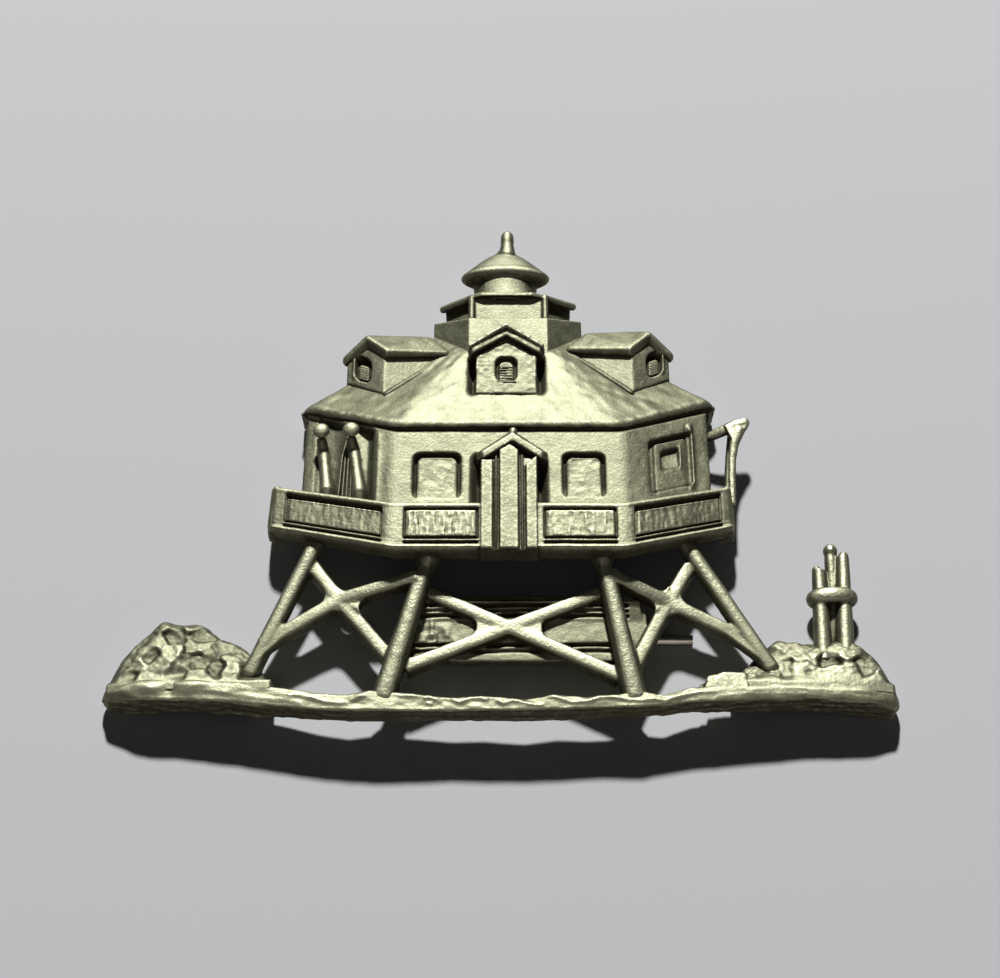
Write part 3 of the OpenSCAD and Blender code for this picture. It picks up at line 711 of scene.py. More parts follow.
class BroochFinish(bpy.types.PropertyGroup):
    # Rubbed pewter, which also serves as the painted lit tone of faces that turn out
    bright: bpy.props.FloatVectorProperty(
        name="Rubbed pewter", description="Colour of the metal where it is rubbed bright",
        subtype="COLOR", size=3, default=(0.350, 0.352, 0.243), min=0, max=1)
    # Dull pewter, which also serves as the painted shaded tone of faces that turn aside or lie low
    dull_and_shaded_tone: bpy.props.FloatVectorProperty(
        name="Dull pewter", description="Colour of the metal that wear hasn't reached",
        subtype="COLOR", size=3, default=(0.128, 0.130, 0.086), min=0, max=1)
    # Tarnish colour, which also paints the shade on faces that turn down the brooch
    tarnish_and_shade: bpy.props.FloatVectorProperty(
        name="Tarnish", description="Colour of the tarnish in the recesses",
        subtype="COLOR", size=3, default=(0.060, 0.046, 0.031), min=0, max=1)
    roughness: bpy.props.FloatProperty(
        name="Roughness", description="Roughness of the rubbed pewter",
        default=0.60, min=0.05, max=1.0, subtype="FACTOR")
    grain: bpy.props.FloatProperty(
        name="Grain depth", description="Depth of the fine cast grain",
        default=0.000018, min=0.0, max=0.0002, unit="LENGTH")


class BROOCH_OT_metals(bpy.types.Operator):
    """Make the cast pewter and the steel of the pin"""

    bl_idname = "brooch.metals"
    bl_label = "Metals"

    def execute(self, context):
        f = context.scene.brooch_finish
        metal("cast pewter", f.bright, f.dull_and_shaded_tone, f.tarnish_and_shade, f.roughness, 0.30, 0.78, f.grain)
        metal("pin steel", (0.56, 0.53, 0.46), (0.40, 0.37, 0.31), (0.12, 0.08, 0.05), 0.34,
              0.6, 1.0, f.grain / 3)
        return {"FINISHED"}


# Shore. Columns: across, lower edge, upper edge, height of its face
SHORE = np.array([
    (-25.8, 1.55, 2.10, 1.45), (-25.4, 1.35, 2.25, 1.90), (-23.4, 1.10, 2.55, 2.30),
    (-20.0, 1.00, 2.45, 2.45), (-16.8, 0.75, 2.20, 2.60), (-14.0, 0.40, 1.80, 2.70),
    (-11.6, 0.12, 1.35, 2.80), (-9.8, 0.05, 1.20, 2.90), (-8.4, 0.00, 1.50, 2.95),
    (-6.0, 0.00, 1.30, 2.90), (-3.2, 0.02, 1.00, 2.85), (-1.0, 0.05, 1.10, 2.90),
    (1.5, 0.05, 0.90, 2.90), (3.6, 0.12, 1.20, 2.90), (5.4, 0.20, 1.05, 2.85),
    (7.4, 0.25, 1.20, 2.90), (9.0, 0.30, 1.50, 2.90), (10.4, 0.45, 1.20, 2.80),
    (12.2, 0.70, 1.80, 2.75), (15.0, 0.85, 2.05, 2.65), (20.0, 1.15, 2.30, 2.45),
    (23.6, 0.90, 2.35, 2.30), (25.3, 0.75, 2.30, 2.00), (25.8, 1.00, 2.00, 1.50),
])

# Crests of the waves along the shore: points across and up, then height and half width
CRESTS = [
    ([(-14.8, 1.35), (-13.2, 1.22), (-12.1, 1.0), (-11.3, 0.72), (-10.4, 0.55), (-9.7, 0.62),
      (-9.1, 0.95), (-8.5, 1.2)], 0.16, 0.16),
    ([(-19.0, 1.55), (-17.0, 1.35), (-15.4, 1.05), (-13.8, 0.85), (-12.2, 0.5)], 0.10, 0.18),
    ([(-6.9, 1.12), (-5.3, 1.05), (-4.5, 1.0), (-4.0, 0.8), (-3.8, 0.5)], 0.14, 0.14),
    ([(-5.0, 0.8), (-4.6, 0.95), (-4.2, 0.75), (-4.4, 0.5), (-4.8, 0.55)], 0.12, 0.12),
    ([(-3.3, 0.9), (-2.6, 0.6), (-2.0, 0.85), (-1.3, 0.95), (-0.7, 0.6)], 0.14, 0.13),
    ([(-0.4, 0.85), (0.2, 0.5), (0.8, 0.75), (1.4, 0.6), (2.2, 0.4), (3.0, 0.42)], 0.14, 0.13),
    ([(2.3, 0.95), (3.1, 1.1), (3.9, 0.85), (4.6, 0.62), (5.6, 0.7), (6.3, 0.98), (7.2, 0.95),
      (8.2, 0.75), (9.0, 0.72), (9.8, 0.85), (10.5, 0.78), (11.2, 0.95), (12.2, 1.3),
      (13.2, 1.45), (15.0, 1.5)], 0.16, 0.14),
    ([(10.0, 1.25), (10.7, 1.0), (11.4, 1.15), (12.2, 1.6)], 0.10, 0.12),
    ([(14.5, 1.75), (16.5, 1.7), (18.5, 1.85), (20.4, 1.7), (22.4, 1.75), (24.2, 1.55)],
     0.12, 0.2),
    ([(13.0, 1.1), (15.5, 1.25), (18.0, 1.4), (20.0, 1.35), (22.6, 1.3), (24.6, 1.15)],
     0.08, 0.16),
]
# Low mounds on the shore: across, up, radius across, radius up, height
MOUNDS = [
    (-22.6, 1.9, 1.0, 0.55, 0.32), (-19.9, 1.9, 1.3, 0.5, 0.30), (-24.3, 1.9, 0.7, 0.5, 0.15),
    (-21.2, 1.8, 0.4, 0.5, -0.18), (-17.2, 1.7, 1.2, 0.4, 0.12), (16.5, 1.5, 2.0, 0.4, 0.12),
    (21.5, 1.6, 2.4, 0.4, 0.12), (-9.4, 0.5, 0.8, 0.3, -0.10), (1.9, 0.8, 0.7, 0.25, -0.10),
]


def near_path(x, y, path):
    """Distance from each point to a path, and how far along it that is, from 0 to 1."""
    best = np.full(x.shape, 1e9)
    share = np.zeros(x.shape)
    for i, (a, b) in enumerate(zip(path, path[1:])):
        dx, dy = b[0] - a[0], b[1] - a[1]
        t = np.clip(((x - a[0]) * dx + (y - a[1]) * dy) / (dx * dx + dy * dy), 0, 1)
        d = np.hypot(x - a[0] - t * dx, y - a[1] - t * dy)
        share = np.where(d < best, (i + t) / (len(path) - 1), share)
        best = np.minimum(best, d)
    return best, share


def rounded_section(corners, radii, count):
    """Evenly spaced points round a polygon with rounded corners."""
    loop = []
    n = len(corners)
    for i, (corner, r) in enumerate(zip(corners, radii)):
        corner = np.array(corner)
        before = np.array(corners[i - 1]) - corner
        after = np.array(corners[(i + 1) % n]) - corner
        r1 = min(r, np.linalg.norm(before) * 0.45)
        r2 = min(r, np.linalg.norm(after) * 0.45)
        a = corner + before / np.linalg.norm(before) * r1
        b = corner + after / np.linalg.norm(after) * r2
        for t in np.linspace(0, 1, 7):
            loop.append((1 - t) ** 2 * a + 2 * t * (1 - t) * corner + t * t * b)
    loop.append(loop[0])
    loop = np.array(loop)
    run = np.concatenate([[0], np.cumsum(np.linalg.norm(np.diff(loop, axis=0), axis=1))])
    at = np.linspace(0, run[-1], count, endpoint=False)
    return np.stack([np.interp(at, run, loop[:, 0]), np.interp(at, run, loop[:, 1])], -1)


class BROOCH_OT_shore(bpy.types.Operator):
    """Make the strip of shore with its wave crests"""

    bl_idname = "brooch.shore"
    bl_label = "Shore"

    def execute(self, context):
        ends = 0.5 * (1 - np.cos(np.linspace(0, math.pi / 2, 11)))
        xs = np.concatenate(
            [-HALF_WIDTH + ends, np.arange(-25.25, 25.26, 0.085), HALF_WIDTH - ends[::-1]])
        rings = []
        for x in xs:
            low, high, face = (np.interp(x, SHORE[:, 0], SHORE[:, k]) for k in (1, 2, 3))
            depth = 1.6 + 0.6 * min(1, abs(x) / HALF_WIDTH) ** 3
            back = max(0.0, face - depth)
            end = ease(abs(x), 22.5, 25.6)
            loop = rounded_section(
                [(low, back), (high, back), (high, face), (low, face)],
                [0.12, 0.25, 0.24 + 0.5 * end, 0.16 + 0.5 * end], 96)
            tip = min(1.0, (HALF_WIDTH - abs(x)) / 0.6)
            pull = max(0.02, math.sqrt(1 - (1 - tip) ** 2))
            centre = loop.mean(0)
            loop = centre + (loop - centre) * pull
            rings.append([(x, y, z) for y, z in loop])
        mesh = closed_tube("shore", np.array(rings))
        p, n = points_of(mesh), normals_of(mesh)
        out = np.clip(n[:, 2] * 1.4, 0, 1)
        lift = np.zeros(len(p))
        for path, height, width in CRESTS:
            d, share = near_path(p[:, 0], p[:, 1], path)
            crest = np.exp(-((d / width / 1.15) ** 2))
            lift += 0.5 * height * crest * ease(share, 0, 0.12) * ease(1 - share, 0, 0.12)
        for x, y, rx, ry, height in MOUNDS:
            apart = ((p[:, 0] - x) / rx) ** 2 + ((p[:, 1] - y) / ry) ** 2
            lift += 0.85 * height * np.exp(-apart)
        lift += 0.035 * grain(p, (0.8, 0.35, 0.5), 3) + 0.012 * grain(p, (0.3, 0.2, 0.3), 8)
        # Layers along the dark lower face
        under = np.clip(-n[:, 1] * 1.5, 0, 1) * (1 - out)
        bend = p[:, 2] + 0.22 * grain(p, (2.4, 9, 9), 4) + 0.1 * grain(p, (0.8, 9, 9), 5)
        layers = (0.03 * np.sin(bend * 9.0) + 0.08 * grain(p, (1.2, 0.6, 0.25), 6)
                  + 0.04 * grain(p, (0.4, 0.4, 0.15), 9))
        wear = out * lift + under * layers * span(p[:, 2], 0.3, 2.7, 0.2)
        p = p + n * (wear + context.scene.brooch_sizes.skin * cast_skin(p, 7))[:, None]
        p[:, 0] = np.clip(p[:, 0], -HALF_WIDTH, HALF_WIDTH)
        p[:, 1] = np.maximum(p[:, 1], 0.0)
        set_points(mesh, p)
        piece("shore", mesh, budget=85000)
        return {"FINISHED"}


# Rock heaps. Outlines: across, height
LEFT_OUTLINE = [
    (-25.5, 3.1), (-24.6, 4.8), (-23.5, 6.3), (-22.3, 7.55), (-21.1, 7.2), (-19.7, 7.3),
    (-18.4, 6.3), (-17.1, 5.8), (-16.0, 4.7), (-15.3, 3.3), (-14.7, 2.3)]
RIGHT_OUTLINE = [
    (14.9, 2.5), (16.1, 4.2), (17.1, 5.1), (18.2, 6.15), (19.7, 5.9), (21.1, 5.9),
    (22.4, 6.15), (23.5, 5.8), (24.5, 4.7), (25.5, 2.9)]
# Facets of the rocks: across, up, height, slope across, slope up
LEFT_ROCKS = np.array([
    (-22.54, 5.50, 2.05, 0.15, -0.20), (-21.95, 6.85, 1.75, 0.20, -0.45),
    (-20.30, 6.95, 1.80, -0.10, -0.55), (-21.35, 6.15, 1.30, 0.10, 0.45),
    (-19.60, 6.15, 1.25, -0.20, 0.50), (-19.75, 5.30, 2.00, 0.20, -0.45),
    (-18.95, 5.00, 1.95, -0.70, -0.20), (-17.75, 5.20, 1.45, -0.30, -0.30),
    (-16.40, 4.40, 1.55, -0.30, -0.40), (-21.35, 4.50, 2.45, 0.10, -0.25),
    (-20.60, 4.05, 2.15, -0.90, 0.20), (-20.95, 3.25, 2.15, -0.55, 0.60),
    (-22.05, 3.65, 2.45, 0.45, -0.15), (-19.45, 4.10, 1.70, 0.15, 0.10),
    (-19.55, 3.00, 2.30, 0.00, -0.35), (-18.48, 3.50, 1.45, 0.20, 0.20),
    (-17.50, 3.35, 2.35, -0.15, -0.25), (-17.30, 4.25, 1.90, -0.30, -0.55),
    (-23.45, 4.75, 1.95, 0.35, -0.30), (-24.35, 4.05, 1.60, 0.50, -0.20),
    (-23.60, 3.65, 2.10, 0.30, -0.05), (-22.80, 4.40, 1.75, 0.30, 0.10),
    (-24.05, 2.90, 1.60, 0.10, 0.50), (-25.10, 2.80, 1.40, 0.40, 0.00),
    (-22.70, 2.60, 2.35, 0.10, -0.20), (-16.05, 2.95, 1.25, 0.10, 0.30),
    (-15.05, 2.75, 1.95, -0.20, -0.10), (-23.20, 5.85, 1.40, 0.30, -0.40),
])
RIGHT_ROCKS = np.array([
    (15.30, 2.55, 1.55, 0.10, 0.10), (15.75, 2.60, 2.10, -0.50, -0.10),
    (16.45, 2.90, 2.15, 0.10, -0.35), (17.20, 2.60, 2.45, 0.10, -0.10),
    (17.30, 3.60, 1.90, 0.20, -0.40), (18.60, 2.50, 1.95, 0.20, 0.20),
    (19.45, 3.40, 2.35, 0.05, -0.15), (19.30, 2.60, 2.35, -0.15, 0.05),
    (20.30, 2.75, 2.20, 0.20, 0.10), (21.55, 3.10, 2.50, 0.10, -0.10),
    (22.60, 3.15, 2.55, -0.15, -0.10), (23.70, 3.60, 1.55, -0.20, 0.00),
    (24.40, 2.90, 2.25, -0.20, -0.20), (25.10, 3.10, 1.50, -0.50, -0.10),
    (19.75, 4.45, 2.25, 0.15, -0.60), (20.65, 4.85, 2.25, 0.10, -0.70),
    (21.40, 4.35, 1.65, 0.00, 0.50), (22.15, 4.75, 2.30, -0.05, -0.75),
    (23.15, 5.10, 2.00, -0.10, -0.45), (24.10, 4.75, 1.50, -0.50, -0.20),
    (18.60, 5.40, 1.75, -0.20, -0.40), (18.00, 4.60, 1.55, 0.40, -0.10),
    (19.50, 5.35, 1.95, 0.30, -0.50), (20.45, 5.50, 1.50, 0.10, -0.30),
    (18.30, 3.70, 1.80, -0.30, -0.50), (25.20, 3.90, 1.30, -0.40, -0.30),
])
# Flat stone beside the right heap: faces of its slabs, and their depths
STONE = [
    ([(12.95, 1.5, 2.66), (15.9, 1.55, 2.76), (15.8, 2.95, 2.56), (14.4, 2.98, 2.62),
      (13.3, 2.72, 2.5)], 1.2),
    ([(15.4, 1.6, 2.66), (16.7, 1.7, 2.66), (16.5, 3.1, 2.3), (15.5, 2.9, 2.45)], 1.2),
    ([(12.4, 1.4, 2.4), (13.6, 1.4, 2.5), (13.5, 2.2, 2.4), (12.9, 2.3, 2.25)], 1.0),
]


HEAP_FOOT = 1.7  # how far up the shore the heaps start
HEAP_LEVEL = 2.12  # height that their facets are drawn towards


def rock_heap(name, outline, rocks, seed, crisp, steep):
    """A heap of worn rock: soft-edged facets that meet in ridges and shallow hollows."""
    outline = np.array(outline)
    us = np.linspace(outline[0, 0], outline[-1, 0], 150)
    tops = np.interp(us, outline[:, 0], outline[:, 1])
    tops = np.convolve(np.pad(tops, 3, "edge"), np.ones(7) / 7, "valid")
    vs = np.linspace(0, 1, 84)
    x = us[:, None] + 0 * vs[None, :]
    y = HEAP_FOOT + (tops[:, None] - HEAP_FOOT) * vs[None, :]
    # Rough edges for the facets: the plane is looked up a little off the point
    flat = np.stack([x, y, 0 * x], -1)
    wob_x = x + 0.14 * grain(flat, 0.6, seed) + 0.04 * grain(flat, 0.2, seed + 1)
    wob_y = y + 0.14 * grain(flat, 0.6, seed + 2) + 0.04 * grain(flat, 0.2, seed + 3)
    far = np.stack([(wob_x - r[0]) ** 2 + (1.15 * (wob_y - r[1])) ** 2 for r in rocks], -1)
    weight = np.exp(-far * crisp + crisp * far.min(-1, keepdims=True))
    planes = np.stack(
        [r[2] + r[3] * (wob_x - r[0]) + r[4] * (wob_y - r[1]) for r in rocks], -1)
    z = (weight * planes).sum(-1) / weight.sum(-1)
    # Hollows are shallow, and the facets keep most of their slopes
    wide = np.exp(-far * 1.6 + 1.6 * far.min(-1, keepdims=True))
    body = (wide * np.array([r[2] for r in rocks])).sum(-1) / wide.sum(-1)
    z = body * 0.45 + (z - body) * steep + 0.55 * HEAP_LEVEL
    # The edge of the heap falls away round its outline
    up = vs[None, :]
    side = np.minimum(us - us[0], us[-1] - us)[:, None]
    z = z * (1 - 0.26 * up**3)
    z = z * (0.45 + 0.55 * ease(side, -0.2, 0.9))
    z = z + 0.045 * grain(flat, 0.55, seed + 4) + 0.028 * grain(flat, 0.24, seed + 5)
    # Chipped corners: shallow steps across the facets
    step = np.round((z * 5.0 + 0.6 * grain(flat, 1.3, seed + 6))) / 5.0
    z = z * 0.95 + step * 0.05
    # The foot of the heap runs out into the shore
    shore = np.interp(x, SHORE[:, 0], SHORE[:, 3]) + 0.03
    z = shore + (z - shore) * ease(y, 2.2, 3.2)
    rim = np.minimum(1, (1 - up) * 9.0)
    z = np.maximum(0.5, z * (0.6 + 0.4 * np.sqrt(rim)))
    # Uneven outline
    y = y + (0.10 * grain(flat, 0.45, seed + 7) * up)
    front = np.stack([x, y, z], -1)
    back = np.stack([x, y, 0 * z], -1)
    mesh = closed_sheet(name, front, back)
    return worked(mesh, rounds=2)


class BROOCH_OT_rocks(bpy.types.Operator):
    """Make the two heaps of rock and the flat stone by the right one"""

    bl_idname = "brooch.rocks"
    bl_label = "Rocks"

    def execute(self, context):
        skin = context.scene.brooch_sizes.skin
        left = rock_heap("left_rocks", LEFT_OUTLINE, LEFT_ROCKS, 11, 7.5, 0.44)
        piece("left_rocks", skinned(left, 12, skin), budget=45000)
        right = rock_heap("right_rocks", RIGHT_OUTLINE, RIGHT_ROCKS, 31, 6.5, 0.36)
        stone = Mould()
        for face, depth in STONE:
            stone.slab(face, depth)
        stone = skinned(stone.fused("stone", 0.07, 14), 33, 3 * skin)
        mesh = joined("right_rocks", [right, stone])
        piece("right_rocks", skinned(mesh, 32, skin), budget=55000)
        return {"FINISHED"}


# Legs: top, foot, and how far an outer foot dips. Crosses: crossing point, ends of its four arms
INNER_LEGS = [((-4.7, 11.5, 3.1), (-7.5, 1.2, 2.2)), ((6.7, 11.6, 3.1), (8.6, 1.2, 2.2))]
OUTER_LEGS = [((-12.6, 12.1, 2.2), (-16.2, 3.3, 1.62), 0.3),
              ((12.65, 12.2, 2.2), (17.45, 3.7, 1.68), 0.4)]
CROSSES = [
    ((0.55, 6.3, 2.05),
     [(-4.9, 9.0, 2.1), (7.7, 2.8, 2.0), (-6.2, 3.4, 2.0), (6.6, 8.9, 2.1)]),
    ((-10.65, 8.45, 1.95),
     [(-12.9, 11.6, 1.9), (-7.0, 3.9, 1.9), (-15.6, 5.2, 1.7), (-5.45, 9.7, 3.0)]),
    ((11.05, 8.25, 1.95),
     [(12.6, 11.1, 1.9), (8.6, 3.4, 1.9), (7.15, 9.9, 3.0), (15.6, 5.9, 1.7)]),
]
FILLET = 0.72  # radius of the corners between the arms of a cross
FOOT_WEBS = [
    ((-15.3, 5.55, 1.75), (-12.6, 7.2, 1.85), (-16.3, 3.5, 1.75)),
    ((15.3, 6.3, 1.75), (13.0, 7.3, 1.85), (17.4, 3.6, 1.75)),
]
# Plate behind the middle braces, and its upper part, which leans out as far as they do
PLATE = [(-6.6, 4.3), (-6.3, 4.0), (9.2, 4.0), (9.6, 4.4), (9.6, 8.0), (9.0, 8.45), (4.6, 8.9),
         (-3.6, 8.9), (-6.2, 8.45), (-6.6, 8.0)]
PLATE_LEAN = [(-6.2, 6.9, 2.04), (9.3, 6.9, 2.04), (9.2, 8.35, 2.46), (-5.9, 8.35, 2.46)]
# Grooves along the plate: how far up, and how deep
PLATE_GROOVES = ((5.2, 0.27), (4.75, 0.18), (7.3, 0.27), (7.62, 0.16), (8.0, 0.27))


def brace_section(width, depth):
    """Cross-section of a brace: a flat face with soft edges on a deep, flat-backed bar."""
    w, d = width / 2, depth / 2
    front = []
    for a in np.linspace(0, math.pi, 15):
        c, s = math.cos(a), math.sin(a)
        front.append((w * math.copysign(abs(c) ** 0.62, c), d - 0.2 + 0.2 * s**0.62))
    return front[::-1] + [(w * 1.04, -d), (-w * 1.04, -d)]


def fillet(crossing, one, two, half, r):
    """Wedges that round off the corner between two arms of a cross, as lists of points."""
    a, b = ((end - crossing).xy.normalized() for end in (one, two))
    middle = (a + b).normalized()
    slope = sum((end.z - crossing.z) / (end - crossing).xy.length for end in (one, two)) / 2
    centre = middle * (half + r) / math.sqrt((1 - a.dot(b)) / 2)
    across = [(middle - u * u.dot(middle)).normalized() for u in (a, b)]
    arc = [centre - across[0].lerp(across[1], t).normalized() * r for t in np.linspace(0, 1, 6)]
    arc = [crossing + Vector((q.x, q.y, q.length * slope)) for q in arc]
    return [[crossing, p, q] for p, q in zip(arc, arc[1:])]


class BROOCH_OT_legs(bpy.types.Operator):
    """Make the legs, the crossed braces and the plate behind them"""

    bl_idname = "brooch.legs"
    bl_label = "Legs and braces"

    def execute(self, context):
        s = context.scene.brooch_sizes
        mould = Mould()
        round_leg = flattened(2.6)
        down = Vector((0, 0, 1.0))
        for top, foot in INNER_LEGS:
            top, foot = Vector(top), Vector(foot)
            run = (top - foot).normalized()
            r_top, r_foot = s.leg_top * RADIUS_MM, s.leg_foot * RADIUS_MM
            mould.bar(
                [foot - run * 0.65 - down * 0.2, foot, foot + run * 0.75, foot + run * 1.3,
                 top - run * 1.6, top + run * 0.2],
                [r_foot - 0.1, r_foot + 0.04, r_foot + 0.02, r_foot, r_top + 0.02, r_top],
                section=round_leg, caps=False)
            # Flare across the foot alone, which runs out into the shore
            low = foot - down * 0.4
            mould.bar([low - run * 0.05, low + run * 0.35, low + run * 0.8],
                      [r_foot + 0.32, r_foot + 0.16, r_foot - 0.05],
                      section=flattened(2.2, 1.0, 0.72), caps=False)
            mould.bar([top - run * 1.25, top - run * 0.5, top + run * 0.5],
                      [r_top + 0.02, r_top + 0.22, r_top + 0.42])
        for top, foot, dip in OUTER_LEGS:
            top, foot = Vector(top), Vector(foot)
            run = (top - foot).normalized()
            r = s.outer_leg * RADIUS_MM
            mould.bar([foot - run * 0.8 - down * dip, foot, foot + run * 0.9, top, top + run * 0.7],
                      [r, r + 0.04, r, r, r], section=round_leg, caps=False)
        section = brace_section(s.brace_width * MM, s.brace_depth * MM)
        webs = [[Vector(q) for q in corners] for corners in FOOT_WEBS]
        for crossing, ends in CROSSES:
            crossing = Vector(crossing)
            ends = [Vector(end) for end in ends]
            for end in ends:
                mid = crossing.lerp(end, 0.5)
                mould.bar([crossing, crossing.lerp(end, 0.12), mid, crossing.lerp(end, 0.88), end],
                          [1.06, 1.04, 1.0, 1.02, 1.08], section=section, caps=False)
            for a, b in ((0, 3), (3, 1), (1, 2), (2, 0)):
                webs += fillet(crossing, ends[a], ends[b], s.brace_width * RADIUS_MM, FILLET)
        for corners in webs:
            mould.hull([q + Vector((0, 0, h)) for q in corners for h in (0.50, -0.40)])
        mould.prism(PLATE, (1.25, 2.05))
        mould.hull(PLATE_LEAN + [(x, y, 1.3) for x, y, z in PLATE_LEAN])
        mesh = mould.fused("legs", s.voxel * MM, 9)
        p, n = points_of(mesh), normals_of(mesh)
        on_plate = (
            span(p[:, 2], 1.85, 2.48, 0.03) * np.clip(n[:, 2] * 2 - 1, 0, 1)
            * span(p[:, 1], 4.05, 8.85, 0.08) * span(p[:, 0], -6.6, 8.4, 0.1))
        grooves = sum(
            depth * bump(p[:, 1], y + 0.04 * np.sin(p[:, 0] * 1.3), 0.105)
            for y, depth in PLATE_GROOVES)
        crinkle = 0.09 * grain(p, (0.5, 0.35, 1), 41) + 0.06 * grain(p, (0.25, 0.5, 1), 42)
        rough = 0.16 + 0.75 * (1 - ease(p[:, 0], -4.2, -2.2)) + 0.2 * ease(p[:, 1], 8.0, 8.6)
        push = -on_plate * grooves + on_plate * crinkle * rough
        p = p + n * (push + 1.1 * s.skin * cast_skin(p, 43))[:, None]
        set_points(mesh, p)
        piece("legs_and_braces", mesh, budget=120000)
        return {"FINISHED"}


class BROOCH_OT_mooring(bpy.types.Operator):
    """Make the three mooring posts with their ring"""

    bl_idname = "brooch.mooring"
    bl_label = "Mooring posts"

    def execute(self, context):
        s = context.scene.brooch_sizes
        posts = [
            ((21.10, 4.3, 1.2), (21.35, 11.2, 1.3), 0.62, 0.50),
            ((22.55, 4.3, 1.2), (23.05, 12.35, 1.25), 0.62, 0.46),
            ((22.05, 4.8, 0.70), (22.3, 12.9, 1.0), 0.40, 0.44)]
        mould = Mould()
        for foot, top, low, high in posts:
            foot, top = Vector(foot), Vector(top)
            mould.bar([foot, foot.lerp(top, 0.12), foot.lerp(top, 0.5), foot.lerp(top, 0.9), top],
                      [low + 0.1, low, (low + high) / 2, high, high - 0.03], caps=False)
        mould.ball((22.3, 12.92, 1.0), 0.52, (0.95, 1.05, 1))
        mould.ball((21.2, 11.25, 1.32), 0.33)
        mould.ball((23.1, 12.35, 1.3), 0.36)
        # The ring goes round all three posts: an oval path with an oval section
        ring = []
        for a in np.linspace(0, 2 * math.pi, 48, endpoint=False):
            cx, cz = 1.18 * math.cos(a), 0.59 * math.sin(a)
            ring.append([
                (22.05 + cx + 0.55 * math.cos(b) * math.cos(a),
                 9.1 + 0.035 * cx + 0.6 * math.sin(b),
                 1.25 + cz + 0.31 * math.cos(b) * math.sin(a))
                for b in np.linspace(0, 2 * math.pi, 20, endpoint=False)])
        rows = [[mould.vert(p) for p in row] for row in ring]
        for a, b in zip(rows, rows[1:] + rows[:1]):
            for k in range(20):
                mould.bm.faces.new((a[k], a[(k + 1) % 20], b[(k + 1) % 20], b[k]))
        mould.turned([(1.0, 8.75), (1.25, 8.85), (1.25, 9.35), (1.0, 9.45)], 22.05, 1.15, 0.45, 32)
        mesh = mould.fused("mooring", 0.065, 7)
        piece("mooring_posts", skinned(mesh, 51, s.skin), budget=26000)
        return {"FINISHED"}


# Rail


def storey_end(mould, tips, side, front, back):
    """A block behind the end of a storey. Its corners lie inwards, up, and out from the tips in
    front, or out from the floor behind."""
    corners = []
    for tip in tips:
        corners += [(tip[0] - side * a, tip[1] + b, tip[2] + c) for a, b, c in front]
        corners += [(tip[0] - side * a, tip[1] + b, c) for a, b, c in back]
    mould.hull(corners)


def rolled_back(u, reach):
    """How far a band drops where it rolls back at both its ends."""
    drop = 0
    for side, end in ((-1, -FRONT_HALF - reach[0]), (1, FRONT_HALF + reach[1])):
        t = np.clip(1 - side * (end - u) / 0.5, 0, 1)
        drop = drop + 0.45 * (1 - np.sqrt(1 - t * t * 0.99))
    return drop


def rail_relief(u, v, reach):
    half = FRONT_HALF
    fronts = [(-6.95, -2.05), (2.35, 7.15)]
    flanks = [(-half - 0.87 * reach[0], -half - 0.08 * reach[0]),
              (half + 0.08 * reach[1], half + 0.88 * reach[1])]
    # Up the band: bead, fine line, fillet, and inside a panel a groove, the panel, a groove
    at = [0.0, 0.04, 0.12, 0.26, 0.42, 0.50, 0.56, 0.62, 0.68, 0.74, 0.82, 0.88, 0.95, 1.03, 1.09,
          2.96, 3.01, 3.06, 3.13, 3.19, 3.28, 3.40, 3.52, 3.60, 3.65]
    plain = [-0.30, -0.08, 0.08, 0.14, 0.09, 0.03, 0.01, 0.0] + [0.01] * 12 + [
        0.02, 0.02, -0.03, -0.11, -0.24]
    front = [-0.30, -0.08, 0.08, 0.14, 0.08, -0.02, -0.20, -0.20, -0.04, 0.03, 0.02, -0.14, -0.32,
             -0.32, -0.05, -0.03, -0.06, -0.24, -0.24, -0.04, 0.02, 0.02, -0.03, -0.11, -0.24]
    flank = list(front)
    flank[14:20] = [-0.13, -0.12, -0.10, -0.34, -0.36, -0.06]
    at_flank = list(at)
    at_flank[15:19] = [2.72, 2.80, 2.88, 3.10]
    inside, beside, edge = 0 * u, 0 * u, 0 * u
    for rows, mask in ((fronts, inside), (flanks, beside)):
        for a, b in rows:
            np.maximum(mask, span(u, a, b, 0.035), out=mask)
            for e in (a + 0.05, b - 0.05):
                edge = edge - 0.24 * bump(u, e, 0.055)
            edge = edge - 0.07 * bump(u, a + 0.24, 0.04)
    h = np.interp(v, at, plain) * (1 - inside - beside)
    h = h + np.interp(v, at, front) * inside + np.interp(v, at_flank, flank) * beside
    h = h + edge * span(v, 0.95, 3.1, 0.05)
    # Faint, uneven upright strokes on the panels
    flat = np.stack([u, v, 0 * u], -1)
    strokes = 0.034 * grain(flat, (0.16, 0.7, 1), 61) + 0.02 * grain(flat, (0.3, 0.3, 1), 62)
    h = h + (inside + 0.25 * beside) * span(v, 1.15, 2.9, 0.1) * strokes
    h = h + 0.02 * grain(flat, (0.9, 0.5, 1), 65) * span(v, 0.0, 0.9, 0.1)
    return h - rolled_back(u, reach)


